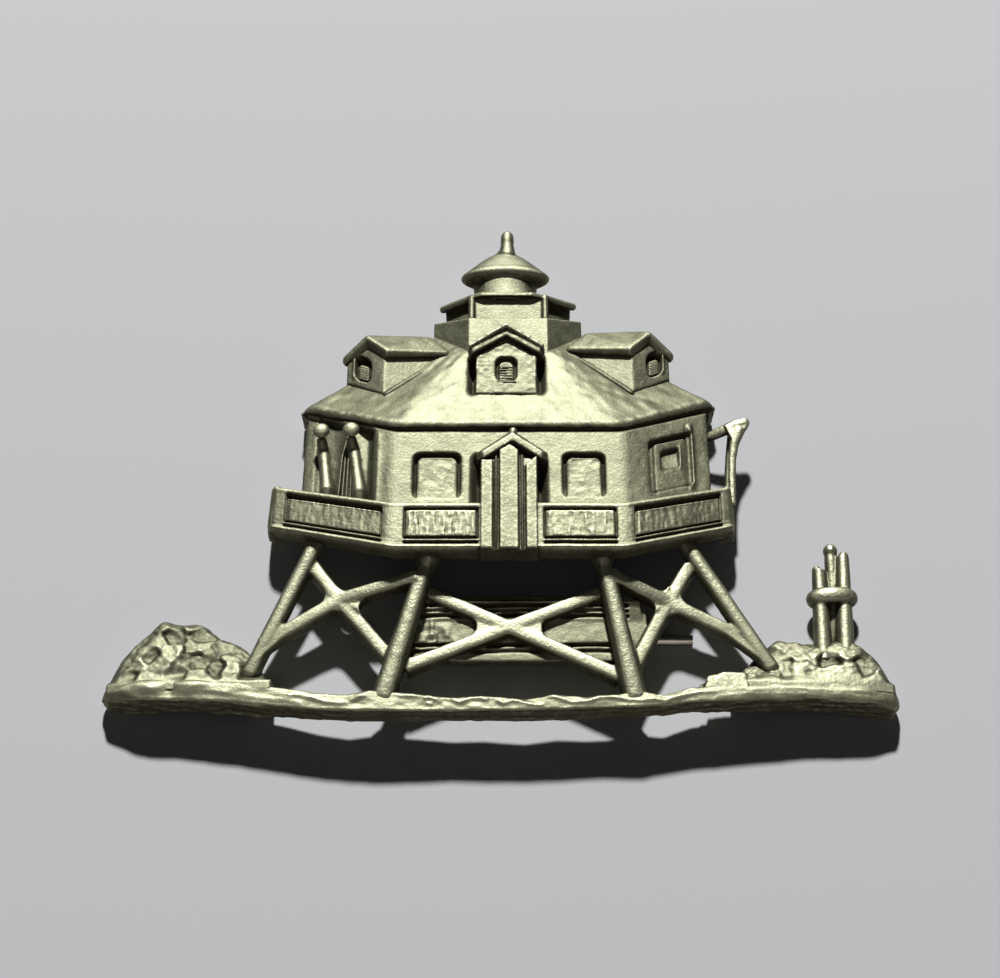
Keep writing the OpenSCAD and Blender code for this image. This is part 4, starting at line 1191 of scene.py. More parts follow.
class BROOCH_OT_rail(bpy.types.Operator):
    """Make the gallery rail with its sunk panels"""

    bl_idname = "brooch.rail"
    bl_label = "Gallery rail"

    def execute(self, context):
        s = context.scene.brooch_sizes
        sheet = storey_sheet("rail", RAIL_FOOT, RAIL_HEAD, RAIL_TALL, rail_relief, 1.1,
                             (0.065, 0.045), corner=0.4)
        skinned(sheet, 63, s.skin * 1.3)
        ends = Mould(HOUSE_X)
        for side, k in ((-1, 0), (1, 3)):
            low, high = RAIL_FOOT[k], RAIL_HEAD[k]
            storey_end(ends, (low, high), side, [(0, 0, -0.5), (0.5, -0.1, -0.15)],
                       [(0, 0, 0.8), (1, -0.2, 0.8)])
            ends.bar([low + [-side * 0.40, 0.42, -0.36], high + [-side * 0.40, -0.30, -0.36]],
                     [0.42, 0.40])
        caps = skinned(ends.fused("ends", 0.08, 6), 64, s.skin)
        piece("gallery_rail", joined("rail", [sheet, caps]), budget=120000)
        return {"FINISHED"}


# Walls and porch


def rounded_box(x, y, left, right, low, high, r):
    """Signed distance to a rectangle with rounded corners, below 0 inside."""
    cx, cy = (left + right) / 2, (low + high) / 2
    dx = np.abs(x - cx) - (right - left) / 2 + r
    dy = np.abs(y - cy) - (high - low) / 2 + r
    return np.hypot(np.maximum(dx, 0), np.maximum(dy, 0)) + np.minimum(np.maximum(dx, dy), 0) - r


def wall_relief(u, v, reach):
    half = FRONT_HALF
    y = v + WALL_FOOT[1][1]
    flat = np.stack([u, v, 0 * u], -1)
    h = 0 * u
    # Front windows: a groove round the top and sides of a pane that comes back up
    for left, low, w, tall in ((-6.45, 15.1, 3.2, 3.7), (3.65, 15.2, 2.85, 3.6)):
        outer = rounded_box(u, y, left, left + w, low, low + tall, 0.5)
        pane = rounded_box(u, y, left + 0.27, left + w - 0.24, low - 2, low + tall - 0.40, 0.45)
        groove = (1 - ease(outer, -0.07, 0.06)) * ease(pane, -0.04, 0.06)
        h = h - 0.46 * groove * (0.35 + 0.65 * ease(y, low + 0.3, low + 1.1))
        inside = (1 - ease(pane, -0.2, 0.05)) * (1 - ease(outer, -0.1, 0.1))
        h = h - inside * (0.03 + 0.03 * grain(flat, 0.5, 71) + 0.012 * grain(flat, 0.2, 72))
    # Right flank window: frame, pane, and a sunk square in the pane
    s = np.where(u > half, (u - half) / reach[1], -1)
    t = v / WALL_TALL
    across, up = s * FLANK_WIDE, t * 6.8
    outer = rounded_box(across, up, 2.15, 5.75, 1.0, 5.3, 0.3)
    pane = rounded_box(across, up, 2.6, 5.3, 1.0, 4.95, 0.25)
    square = rounded_box(across, up, 3.15, 4.75, 2.6, 4.3, 0.25)
    on_right = (u > half) * 1.0
    h = h - on_right * 0.36 * (1 - ease(outer, -0.07, 0.06)) * ease(pane, -0.07, 0.06)
    h = h - on_right * 0.10 * (1 - ease(pane, -0.08, 0.05))
    h = h - on_right * 0.28 * (1 - ease(square, -0.12, 0.06)) * (0.45 + 0.55 * ease(t, 0.38, 0.6))
    h = h + on_right * 0.08 * bump(across, 4.78, 0.13) * span(t, 0.40, 0.62, 0.05)
    h = h + on_right * 0.20 * bump(across, 5.64, 0.20) * span(t, 0.12, 0.84, 0.05)
    h = h - on_right * 0.08 * bump(across, 5.34, 0.07) * span(t, 0.12, 0.84, 0.05)
    # Porch on the left flank: a deep recess behind its columns, and a low strip at its far end
    s = np.where(u < -half, (-u - half) / reach[0], -1)
    deep = ease(s, 0.20, 0.28) * (1 - ease(v, 6.15, 6.6))
    h = h - 0.62 * deep
    h = h - deep * 0.16 * bump(s, 0.33, 0.06) + deep * 0.26 * bump(s, 0.515, 0.085)
    h = h + 0.22 * deep * ease(s, 0.84, 0.90)
    h = h + 0.05 * bump(s, 0.17, 0.03) * (1 - ease(v, 5.6, 6.4))
    # Clefts beside the door bay, and a roll back under the eave
    for x, w, top in ((-2.1, 0.30, 4.3), (2.12, 0.34, 4.1)):
        h = h - 0.75 * bump(u, x, w) * (1 - ease(v, top - 0.3, top + 0.5))
    h = h - 0.25 * ease(v, 6.35, 6.65)
    return h + 0.012 * grain(flat, 1.6, 73)


class BROOCH_OT_walls(bpy.types.Operator):
    """Make the walls with their windows, and the porch on the left"""

    bl_idname = "brooch.walls"
    bl_label = "Walls and porch"

    def execute(self, context):
        s = context.scene.brooch_sizes
        sheet = storey_sheet("walls", WALL_FOOT, WALL_HEAD, WALL_TALL, wall_relief, 1.1,
                             (0.07, 0.07), corner=0.35, extend=(0.3, 0.1))
        skinned(sheet, 74, s.skin * 1.3)
        ends = Mould(HOUSE_X)
        for side, k, sunk in ((-1, 0, 0.6), (1, 3, 0.15)):
            storey_end(ends, (WALL_FOOT[k], WALL_HEAD[k]), side, [(0, 0, -sunk), (1, -0.2, -sunk)],
                       [(0, 0, 0.02), (1, -0.2, 0.02)])
        caps = skinned(ends.fused("ends", 0.1, 6), 75, s.skin)
        # Columns with ball heads: sunk behind the eave's shadow above, flared to their feet
        porch = Mould(HOUSE_X)
        for ball, foot in (((-12.9, 21.2, 3.25), (-12.35, 16.9, 2.85)),
                           ((-10.8, 20.95, 3.75), (-10.1, 16.4, 3.4))):
            ball, foot = Vector(ball), Vector(foot)
            porch.ball(ball + Vector((0, 0, 0.2)), 0.60, (1, 1, 0.5))
            shaft = [ball.lerp(foot, share) - Vector((0, 0, sunk))
                     for share, sunk in ((0.25, 0.72), (0.55, 0.52), (0.85, 0.2))]
            porch.bar(
                [ball - Vector((0.02, 0.25, 0.35)), *shaft, foot - Vector((0, 0.1, 0.1)),
                 foot - Vector((-0.03, 0.9, 0.45))],
                [0.34, 0.44, 0.40, 0.46, 0.52, 0.56], caps=False)
        columns = skinned(porch.fused("columns", 0.065, 8), 76, s.skin)
        # Fine ribs between the columns, which run together at their heads
        ribs = []
        for share in (0.41, 0.455, 0.50, 0.545, 0.59):
            low, mid, high = (
                along(edge, np.array([-FRONT_HALF - at * FLANK_WIDE]), FRONT_HALF)[0]
                for edge, at in ((WALL_FOOT, share), (WALL_HEAD, 0.5 + (share - 0.5) * 0.6),
                                 (WALL_HEAD, 0.5)))
            path = [low + [0, 0.3, -0.36], low * 0.45 + mid * 0.55 + [0, 0, -0.34],
                    high + [0, -0.35, -0.5]]
            ribs.append(bead([tuple(q) for q in path], 0.075))
        piece("walls", joined("walls", [sheet, caps]), budget=94000)
        piece("porch", joined("porch", [columns, *ribs]), budget=30000)
        return {"FINISHED"}


class BROOCH_OT_door(bpy.types.Operator):
    """Make the gabled bay of the front door"""

    bl_idname = "brooch.door"
    bl_label = "Door bay"

    def execute(self, context):
        s = context.scene.brooch_sizes
        mid, face, low = 0.25, 5.1, 10.8
        mould = Mould(HOUSE_X)
        for a, b, top, lean in ((-2.12, -1.32, 17.75, 0.35), (0.90, 1.66, 17.75, -0.35)):
            heads = (a, top - max(-lean, 0)), (b, top - max(lean, 0) + 0.35)
            mould.prism([(a, low), (b, low), *heads], (3.3, face), mid)
        panel = [(-0.86, low), (0.4, low), (-0.86, 18.55), (0.4, 18.55), (-0.2, 19.05)]
        mould.prism(panel, (3.3, face), mid)
        mould.block((mid - 2.05, mid + 1.6), (low, 18.0), (3.3, 4.80))
        mould.prism([(-2.0, 17.5), (1.7, 17.5), (-0.2, 19.4)], (3.6, 4.72), mid)
        body = skinned(mould.fused("door", 0.055, 5), 81, s.skin * 1.8)
        # Gable: a flat front edge, and slopes that fall back outside it
        gable = Mould(HOUSE_X)
        top, thick = 20.10, 0.42
        for side in (-1, 1):
            gable.hull([
                (mid + x * side, y, z) for x, y, z in (
                    (-0.05, top - 0.30, face + 0.16), (-0.05, top - 0.30 - thick * 1.35, face + 0.16),
                    (2.02, 18.36, face + 0.05), (1.9, 18.36 - thick * 1.2, face + 0.05),
                    (-0.05, top + 0.16, face - 0.12), (2.42, 18.42, face - 0.28),
                    (-0.05, top + 0.28, 3.6), (2.48, 18.36, 3.6), (2.35, 17.92, face - 0.3),
                    (2.3, 17.86, 3.6), (-0.05, top - 0.9, 3.6))])
        gable.ball((mid + 0.05, 20.15, 4.72), 0.36, (0.9, 1.0, 1.1))
        roof = skinned(gable.fused("gable", 0.055, 14), 82, 1.5 * s.skin)
        ribs = [
            slats(1, (mid + x, low + 0.12, 4.84), (0.2, 0, 0), (0, 7.3, 0), 0.085)
            for x in (-1.10, 0.65)]
        mesh = joined("door_bay", [body, roof, *ribs])
        piece("door_bay", mesh, budget=66000)
        return {"FINISHED"}


class BROOCH_OT_davit(bpy.types.Operator):
    """Make the boat davit at the right end"""

    bl_idname = "brooch.davit"
    bl_label = "Davit"

    def execute(self, context):
        s = context.scene.brooch_sizes
        mould = Mould(HOUSE_X)
        flat = flattened(2.6, 1.0, 0.75)
        mould.bar([(13.8, 21.75, 1.7), (14.9, 22.05, 2.15), (15.8, 22.35, 2.35), (16.45, 22.6, 2.4)],
                  [0.34, 0.38, 0.44, 0.36], section=flat)
        # The arm widens where it turns down
        elbow = [(15.0, 22.25), (16.55, 22.8), (16.75, 22.45), (16.1, 21.3), (15.5, 20.9),
                 (15.3, 21.5)]
        mould.prism(elbow, (2.1, 2.62))
        mould.bar([(16.0, 21.9, 2.4), (15.62, 20.8, 2.36), (15.42, 19.6, 2.28), (15.32, 18.0, 2.2),
                   (15.25, 16.1, 2.1)], [0.42, 0.33, 0.28, 0.26, 0.25], section=flat)
        mould.bar([(15.6, 21.9, 1.7), (15.35, 20.4, 1.4), (15.15, 18.5, 1.25), (15.0, 16.4, 1.2)],
                  [0.34, 0.28, 0.26, 0.24])
        mesh = mould.fused("davit", 0.055, 5)
        piece("davit", skinned(mesh, 91, s.skin), budget=18000)
        return {"FINISHED"}


# Roof


def roof_relief(u, v, reach):
    flat = np.stack([u, v, 0 * u], -1)
    # The eave rolls over in an uneven edge
    turn = 0.60 + 0.08 * grain(flat, (0.5, 4, 1), 105) + 0.07 * grain(flat, (0.16, 4, 1), 106)
    t = np.clip(1 - v / turn, 0, 1)
    h = 0.02 * bump(v, 0.42, 0.32) - 0.48 * (1 - np.sqrt(1 - t * t * 0.98))
    h = h + 0.018 * grain(flat, 2.2, 101) + 0.022 * grain(flat, 0.7, 102)
    # Clefts beside the front dormer, which stand upright on a facet that narrows upwards
    x = np.abs(u * (1 - 0.613 * v / ROOF_TALL) + 0.15)
    h = h - 0.55 * bump(x, 2.36, 0.24) * span(v, 3.5, 7.3, 0.4) * (np.abs(u) < 7.5)
    return h - rolled_back(u, reach)


class BROOCH_OT_roof(bpy.types.Operator):
    """Make the roof with its eave"""

    bl_idname = "brooch.roof"
    bl_label = "Roof"

    def execute(self, context):
        s = context.scene.brooch_sizes
        sheet = storey_sheet("roof", EAVE, ROOF_TOP, ROOF_TALL, roof_relief, 1.1,
                             (0.085, 0.075), corner=0.9)
        skinned(sheet, 103, s.skin)
        ends = Mould(HOUSE_X)
        for side, k in ((-1, 0), (1, 3)):
            storey_end(ends, (EAVE[k], ROOF_TOP[k]), side, [(0, 0, -0.45), (0.6, -0.9, -0.4)],
                       [(0.1, 0, 0.02), (0.7, -0.9, 0.02)])
        caps = skinned(ends.fused("ends", 0.1, 5), 104, s.skin)
        piece("roof", joined("roof", [sheet, caps]), budget=72000)
        return {"FINISHED"}


# Dormers


def thick_gable(mould, left, right, peak, back_left, back_right, back_peak, r):
    """Two slopes of a gable roof with rounded edges, from the eaves up to the ridge."""
    for front, back in ((left, back_left), (right, back_right)):
        corners = []
        for p, size in ((front, r), (peak, r), (back, r * 0.75), (back_peak, r * 0.75)):
            for k in range(12):
                a = 2 * math.pi * k / 12
                corners.append((p[0] + size * 0.7 * math.cos(a), p[1] + size * math.sin(a), p[2]))
                corners.append((p[0], p[1] + size * math.sin(a) * 0.9, p[2] + size * math.cos(a)))
        mould.hull(corners)


class BROOCH_OT_dormers(bpy.types.Operator):
    """Make the three dormers with their louvred windows"""

    bl_idname = "brooch.dormers"
    bl_label = "Dormers"

    def front(self, s):
        mid, half, face, low, head = -0.15, 2.12, 4.0, 23.75, 27.2
        mould = Mould(HOUSE_X)
        outline = [(mid - half, low + 0.3), (mid + half, low + 0.3), (mid + half, head),
                   (mid, head + 1.6), (mid - half, head)]
        mould.hull([(x, y, z) for x, y in outline for z in (2.0, face)]
                   + [(mid + x, low, z) for x in (-half, half) for z in (2.0, face - 0.25)])
        body = mould.fused("front_dormer", 0.055, 5)
        p, n = points_of(body), normals_of(body)
        x, y = p[:, 0] - HOUSE_X - mid, p[:, 1]
        facing = np.clip(n[:, 2] * 2 - 1, 0, 1) * (p[:, 2] > 3.5)
        arch = rounded_box(x, y, -0.74, 0.74, 24.95, 27.15, 0.6)
        pane = rounded_box(x, y, -0.50, 0.50, 24.2, 26.8, 0.42)
        sink = 0.36 * (1 - ease(arch, -0.06, 0.05)) * ease(pane, -0.05, 0.06)
        sink += 0.17 * (1 - ease(pane, -0.05, 0.05)) * (1 - ease(arch, -0.05, 0.05))
        sink += 0.03 * (x < -1.0) * np.clip(np.sin(y * 17 + 0.8), 0, 1) * span(
            y, 25.9, 27.1, 0.1) * (0.5 + 0.5 * grain(p, 0.6, 111))
        p = p - np.stack([0 * x, 0 * x, facing * sink], -1)
        uneven = s.skin * cast_skin(p, 112) + 0.035 * grain(p, 0.34, 117)
        p = p + n * uneven[:, None]
        set_points(body, p)
        # Gable: a thick band with a flat front edge that slopes back above it
        roof = Mould(HOUSE_X)
        for side in (-1, 1):
            roof.hull([
                (mid + a * side, b, z) for a, b, z in (
                    (-0.05, 29.50, 4.42), (-0.05, 28.80, 4.40), (2.46, 27.92, 4.36),
                    (2.34, 27.28, 4.32), (-0.05, 29.74, 4.05), (2.70, 27.90, 4.0),
                    (2.68, 27.45, 3.9), (-0.05, 30.1, 2.5), (2.68, 28.3, 2.5),
                    (2.55, 27.25, 3.7), (2.5, 27.5, 2.5), (-0.05, 28.75, 3.8), (-0.05, 29.2, 2.5))])
        roof.bar([(mid + x, y, z) for x, y, z in (
            (-2.52, 27.82, 4.34), (-1.2, 28.72, 4.42), (0.0, 29.50, 4.46), (1.2, 28.72, 4.42),
            (2.52, 27.82, 4.34))], [0.16, 0.18, 0.24, 0.18, 0.16])
        gable = roof.fused("gable", 0.055, 5)
        q, m = points_of(gable), normals_of(gable)
        set_points(gable, q + m * (0.03 * grain(q, (0.28, 0.5, 0.5), 116))[:, None])
        gable = skinned(gable, 113, s.skin)
        louvre = slats(6, (mid - 0.45, 25.15, face - 0.17), (0, 0.235, 0), (0.9, 0, 0), 0.065)
        sill = slats(1, (mid - 0.7, 24.95, face - 0.02), (0, 0.2, 0), (1.4, 0, 0), 0.085)
        return joined("front_dormer", [body, gable, louvre, sill])

    def side(self, side, lift, s):
        outer = Vector((side * 11.4, 26.1 + lift, 2.35))
        inner = Vector((side * 8.7, 24.5 + lift / 2, 3.3))
        outer_head, inner_head = outer + Vector((0, 1.85, 0)), inner + Vector((0, 3.2, 0))
        peak = Vector((side * 10.05, 29.35 + lift, 2.85))
        back_peak = Vector((side * 5.6, 29.7 + lift, 2.35))
        back_foot = Vector((side * 4.4, 28.3 + lift, 2.5))
        mould = Mould(HOUSE_X)
        deep = Vector((0, 0, 1.4))
        points = [outer, inner, inner_head, outer_head]
        points += [q - deep for q in points] + [peak, peak - deep, back_peak, back_foot]
        points += [back_peak - Vector((0, 0, 1)), back_foot - Vector((0, 0, 1))]
        # Down into the roof, so that no crack is left under it
        points += [outer + Vector((side * 0.05, -0.5, -0.6)), inner + Vector((0, -0.55, -0.55)),
                   back_foot + Vector((side * 0.3, -0.5, -0.45))]
        mould.hull(points)
        cheek = [outer, outer_head]
        mould.hull([*cheek, *[(q.x, q.y, 0.03) for q in cheek],
                    *[(q.x - side, q.y, 0.03) for q in cheek],
                    *[(q.x - side, q.y, 1.2) for q in cheek]])
        body = mould.fused("side_dormer", 0.06, 6)
        # On the face: a across it from its outer edge, b straight up, c out of it
        a_dir = (inner - outer).normalized()
        up = Vector((0, 1, 0))
        c_dir = a_dir.cross(up).normalized()
        c_dir = c_dir if c_dir.z > 0 else -c_dir
        p, n = points_of(body), normals_of(body)
        rel = p - np.array(outer + Vector((HOUSE_X, 0, 0)))
        c = rel @ np.array(c_dir)
        a = (rel[:, 0] - c * c_dir.x) / a_dir.x
        b = rel[:, 1] - a * a_dir.y
        facing = np.clip((n @ np.array(c_dir)) * 2.5 - 1.3, 0, 1) * (np.abs(c) < 0.4)
        m, low = (1.44, 0.5) if side < 0 else (1.37, 0.65)
        arch = rounded_box(a, b, m - 0.74, m + 0.66, low, low + 2.1, 0.55)
        pane = rounded_box(a, b, m - 0.44, m + 0.42, low + 0.1, low + 1.55, 0.25)
        sink = 0.40 * (1 - ease(arch, -0.07, 0.06)) * (0.3 + 0.7 * ease(pane, -0.06, 0.06))
        sink += 0.20 * (1 - ease(arch, -0.1, 0.05)) * ease(b, low + 1.1, low + 1.8)
        # Bright jamb beside the window, away from the middle of the brooch
        sink -= 0.10 * bump(a, m - 0.80, 0.13) * span(b, low, low + 1.7, 0.2)
        p = p - (facing * sink)[:, None] * np.array(c_dir)
        p = p + n * (s.skin * cast_skin(p, 114))[:, None]
        set_points(body, p)
        roof = Mould(HOUSE_X)
        thick_gable(
            roof, (side * 11.5, 28.1 + lift, 2.2), (side * 8.6, 27.9 + lift / 2, 3.3), peak,
            (side * 11.0, 28.9 + lift, 1.4), (side * 4.3, 28.4 + lift, 2.5), back_peak, 0.48)
        gable = skinned(roof.fused("gable", 0.06, 14), 115, s.skin)
        start = outer + a_dir * (m - 0.40) + up * (low + 0.25) - c_dir * 0.16
        louvre = slats(6, start, up * 0.2, a_dir * 0.74, 0.06)
        # Soft moulding where the cheek meets the roof
        foot, tip = inner + Vector((0, -0.2, -0.12)), back_foot + Vector((side * 0.1, -0.3, 0.0))
        line = bead([tuple(foot), tuple(foot.lerp(tip, 0.5)), tuple(tip)], 0.24, taper=0.3)
        return joined("side_dormer", [body, gable, louvre, line])

    def execute(self, context):
        s = context.scene.brooch_sizes
        piece("front_dormer", self.front(s), budget=48000)
        piece("left_dormer", self.side(-1, 0.0, s), budget=48000)
        piece("right_dormer", self.side(1, 0.35, s), budget=48000)
        return {"FINISHED"}


class BROOCH_OT_tower(bpy.types.Operator):
    """Make the tower drum, the watch room and the small gallery round it"""

    bl_idname = "brooch.tower"
    bl_label = "Tower"

    def execute(self, context):
        s = context.scene.brooch_sizes
        mould = Mould(HOUSE_X)
        low = [(-5.35, 29.6, 1.6), (-2.8, 28.0, 2.95), (2.8, 28.0, 2.95), (5.3, 29.6, 1.6)]
        head = [(-5.35, 31.9, 1.6), (-2.8, 31.4, 2.95), (2.8, 31.4, 2.95), (5.3, 32.1, 1.6)]
        back = 0.42
        for i in range(3):
            corners = [low[i], low[i + 1], head[i + 1], head[i]]
            mould.hull(corners + [(x, y, back) for x, y, z in corners])
        room = [(-2.55, 31.2, 2.72), (2.55, 31.2, 2.72), (-2.6, 33.35, 2.8), (2.6, 33.35, 2.8)]
        mould.hull([(x, y, z - 0.1) for x, y, z in room] + [(x, y, back) for x, y, z in room])
        for x in (-2.62, 2.66):
            mould.bar([(x, 31.3, 2.62), (x, 33.5, 2.62)], [0.23, 0.25])
        # Side stretches of the gallery: a thick rounded deck over a sunk body
        for side, lift in ((-1, 0.0), (1, 0.25)):
            mould.hull([
                (side * 2.5, 31.8, 2.1), (side * 2.5, 33.55, 2.1),
                (side * 4.5, 32.45 + lift, 1.1), (side * 4.55, 33.3 + lift, 1.1),
                (side * 2.5, 31.8, back), (side * 2.5, 33.55, back),
                (side * 4.45, 32.45 + lift, back), (side * 4.45, 33.25 + lift, back)])
            mould.bar([(side * 2.63, 33.54, 2.4), (side * 4.72, 33.32 + lift, 1.4)],
                      [0.31, 0.27])
        # Sill of the lantern, which stands out over the watch room
        mould.hull([(x, y, z) for y in (33.30, 33.63) for x, z in
                    ((-2.65, 2.85), (-1.9, 3.12), (1.7, 3.12), (2.45, 2.85), (-2.65, 1), (2.45, 1))])
        mesh = mould.fused("tower", 0.06, 5)
        skinned(mesh, 121, s.skin)
        piece("tower", mesh, budget=52000)
        return {"FINISHED"}


class BROOCH_OT_lantern(bpy.types.Operator):
    """Make the lantern with its roof and finial"""

    bl_idname = "brooch.lantern"
    bl_label = "Lantern"

    def execute(self, context):
        s = context.scene.brooch_sizes
        mould = Mould(HOUSE_X)
        # The glass drum is rounder than the roof over it
        mould.turned([(2.30, 33.2), (2.27, 33.9), (2.27, 34.7), (2.32, 35.2), (2.4, 35.6)],
                     -0.2, 1.45, 0.64)
        profile = [(2.0, 35.1), (2.5, 35.28), (2.95, 35.42), (3.2, 35.58), (3.24, 35.75),
                   (3.12, 35.92), (2.85, 36.15), (2.4, 36.6), (1.95, 37.05), (1.5, 37.45),
                   (1.05, 37.78), (0.72, 38.05), (0.55, 38.3), (0.3, 38.4)]
        mould.turned(profile, -0.2, 1.95, 0.42)
        mould.block((-2.2, 1.8), (33.25, 33.4), (0.9, 1.2))
        mould.bar([(-0.05, 37.8, 2.0), (-0.05, 38.35, 2.0), (-0.05, 38.85, 2.02),
                   (-0.05, 39.3, 2.05), (-0.05, 39.6, 2.05)], [0.64, 0.57, 0.49, 0.50, 0.47])
        mesh = mould.fused("lantern", 0.06, 5)
        p = points_of(mesh)
        p[:, 2] = np.maximum(p[:, 2], 0.9)
        set_points(mesh, p)
        piece("lantern", skinned(mesh, 131, s.skin), budget=42000)
        return {"FINISHED"}


class BROOCH_OT_pin(bpy.types.Operator):
    """Give the pin clasp on the back its steel"""

    bl_idname = "brooch.pin"
    bl_label = "Pin clasp"

    def execute(self, context):
        clasp = frame["nodes"]["pin_clasp"]
        clasp.data.materials.clear()
        clasp.data.materials.append(bpy.data.materials["pin steel"])
        return {"FINISHED"}


# Wear of the pieces, which also paints light and shade: facing at which it starts and is full, height
# at which it is full, strength. Faces that turn aside and parts that lie low come out darker: painted
# shade.
PLAIN_WEAR_AND_LIGHT = (0.930, 0.982, 2.6, 1.0)
WEAR_AND_LIGHT = {
    "shore": (0.80, 0.96, 2.6, 1.15), "left_rocks": (0.80, 0.96, 2.3, 1.0),
    "right_rocks": (0.80, 0.96, 2.1, 1.1), "legs_and_braces": (0.78, 0.95, 2.65, 1.5),
    "mooring_posts": (0.75, 0.95, 1.4, 1.45), "porch": (0.80, 0.96, 2.6, 0.95),
    "door_bay": (0.80, 0.96, 2.6, 1.0), "davit": (0.75, 0.95, 2.4, 1.45),
    "front_dormer": (0.85, 0.97, 2.6, 0.9), "lantern": (0.78, 0.95, 2.2, 0.95),
    "walls": (0.92, 0.978, 2.6, 1.0), "gallery_rail": (0.945, 0.985, 2.6, 1.05),
    "left_dormer": (0.93, 0.982, 2.6, 0.88), "right_dormer": (0.93, 0.982, 2.6, 0.88),
}


# Shelter is measured with rays from each point, the same ones turned for each
RAYS = 10
RAY_REACH = 1.3
GOLDEN_TURN = math.pi * (3 - math.sqrt(5))


def half_sphere(count):
    """Directions that spread over the half sphere, up last."""
    ways = []
    for k in range(count):
        up = 1 - (k + 0.5) / count * 0.9
        r = math.sqrt(1 - up * up)
        ways.append((r * math.cos(k * GOLDEN_TURN), r * math.sin(k * GOLDEN_TURN), up))
    return np.array(ways)


def shelter_of(tree, p, n):
    """How closed in each point is, from 0 in the open to 1."""
    side = np.cross(n, [0.31, 0.95, 0.07])
    side /= np.maximum(np.linalg.norm(side, axis=1, keepdims=True), 1e-6)
    other = np.cross(n, side)
    twist = 6.283 * lattice(np.arange(len(p)), 0, 0, 5)  # up to a turn either way
    c, w = np.cos(twist), np.sin(twist)
    starts = (p + n * 0.03).tolist()
    closed = np.zeros(len(p))
    cast = tree.ray_cast
    for across, along_it, up in half_sphere(RAYS):
        a, b = across * c - along_it * w, across * w + along_it * c
        way = side * a[:, None] + other * b[:, None] + n * up
        hits = [cast(q, d, RAY_REACH)[3] for q, d in zip(starts, way.tolist())]
        far = np.array([RAY_REACH if h is None else h for h in hits])
        closed += (1 - far / RAY_REACH) ** 0.7
    return closed / RAYS


def triangles_of(mesh):
    mesh.calc_loop_triangles()
    corners = np.empty(len(mesh.loop_triangles) * 3, np.int32)
    mesh.loop_triangles.foreach_get("vertices", corners)
    return corners.reshape(-1, 3)


class BROOCH_OT_ageing(bpy.types.Operator):
    """Measure how sheltered and how rubbed each point of the casting is, for its metal, and add
    painted shade and painted light to these values
    """

    bl_idname = "brooch.ageing"
    bl_label = "Ageing"

    def execute(self, context):
        shown = [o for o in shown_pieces() if "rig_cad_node" not in o]
        points, tris, start = [], [], 0
        for o in shown:
            points.append(points_of(o.data) * MM)
            tris.append(triangles_of(o.data) + start)
            start += len(points[-1])
        tree = BVHTree.FromPolygons(
            np.concatenate(points).tolist(), np.concatenate(tris).tolist(), all_triangles=True)
        for o, p in zip(shown, points):
            n = normals_of(o.data)
            closed = shelter_of(tree, p, n)
            edges = np.empty(len(o.data.edges) * 2, np.int32)
            o.data.edges.foreach_get("vertices", edges)
            ends = edges.reshape(-1, 2).T
            share = np.bincount(edges, minlength=len(p))

            def gathered(value):
                """Mean of a value over each point's neighbours."""
                total = np.bincount(ends[0], value[ends[1]], len(p))
                total += np.bincount(ends[1], value[ends[0]], len(p))
                return total / np.maximum(share, 1)

            # Outward bend in 1/mm: above 0 on edges and grains, below 0 in creases and pits
            middle = np.stack([gathered(p[:, k]) for k in range(3)], -1)
            gap = ((p[ends[0]] - p[ends[1]]) ** 2).sum(1)
            gap = np.bincount(ends[0], gap, len(p)) + np.bincount(ends[1], gap, len(p))
            bend = 2 * ((p - middle) * n).sum(1) * share / np.maximum(gap, 1e-9)
            bend = np.clip(bend, -8, 8)
            facing = n[:, 2]
            if o.name == "gallery_rail":
                # Painted highlight: its beads are painted lighter where they turn up towards the
                # light
                facing = np.hypot(facing, np.clip(n[:, 1], 0, 1))
            # Each point takes part of its neighbours' value, so that single rays don't show
            for _ in range(3):
                closed = 0.4 * closed + 0.6 * gathered(closed)
                facing = 0.4 * facing + 0.6 * gathered(facing)
                bend = 0.5 * bend + 0.5 * gathered(bend)
            # Painted shade: metal that faces down the brooch, away from the light, and metal that
            # faces the floor are painted darker, more on the roof, whose eave rolls down
            down, under = np.clip(-n[:, 1] - 0.2, 0, 1), np.clip(-n[:, 2], 0, 1)
            closed = closed + (1.5 if o.name == "roof" else 0.7) * down + 0.15 * under
            # Wear rubs bright what stands out and its edges; the facing and height thresholds also
            # paint shade, darker on faces that turn aside and on low parts, and light, on faces that
            # turn out
            low, high, proud, wear = WEAR_AND_LIGHT.get(o.name, PLAIN_WEAR_AND_LIGHT)
            wear_and_light = wear * ease(facing, low, high) * (0.4 + 0.6 * ease(p[:, 2], proud - 0.6, proud))
            wear_and_light = np.clip(wear_and_light + 0.22 * np.clip(bend, -2.5, 4), -0.3, 1.9)
            for label, value in (("shelter_and_shade", closed), ("wear_and_light", wear_and_light)):
                layer = o.data.attributes.new(label, "FLOAT", "POINT")
                layer.data.foreach_set("value", value.astype(np.float32))
        return {"FINISHED"}


# Lamps: place, diameter, power, colour, and whether it lights the floor
LAMPS = {
    "window light": ((-0.033, 0.945, 0.739), 0.09, 19.0, (1.0, 0.995, 0.975), True),
    "fill light": ((-0.1, -0.5, 0.6), 0.5, 0.03, (0.92, 0.95, 1.0), True),
    "room glow": ((0.0, -0.65, 0.30), 0.9, 2.3, (1.0, 0.94, 0.90), False),
}
CAMERA_AIM = (-0.000035, -0.0014, 0)
CAMERA_AWAY = 0.1423
CAMERA_UP = 57  # degrees over the floor
CAMERA_LENS = 73.6


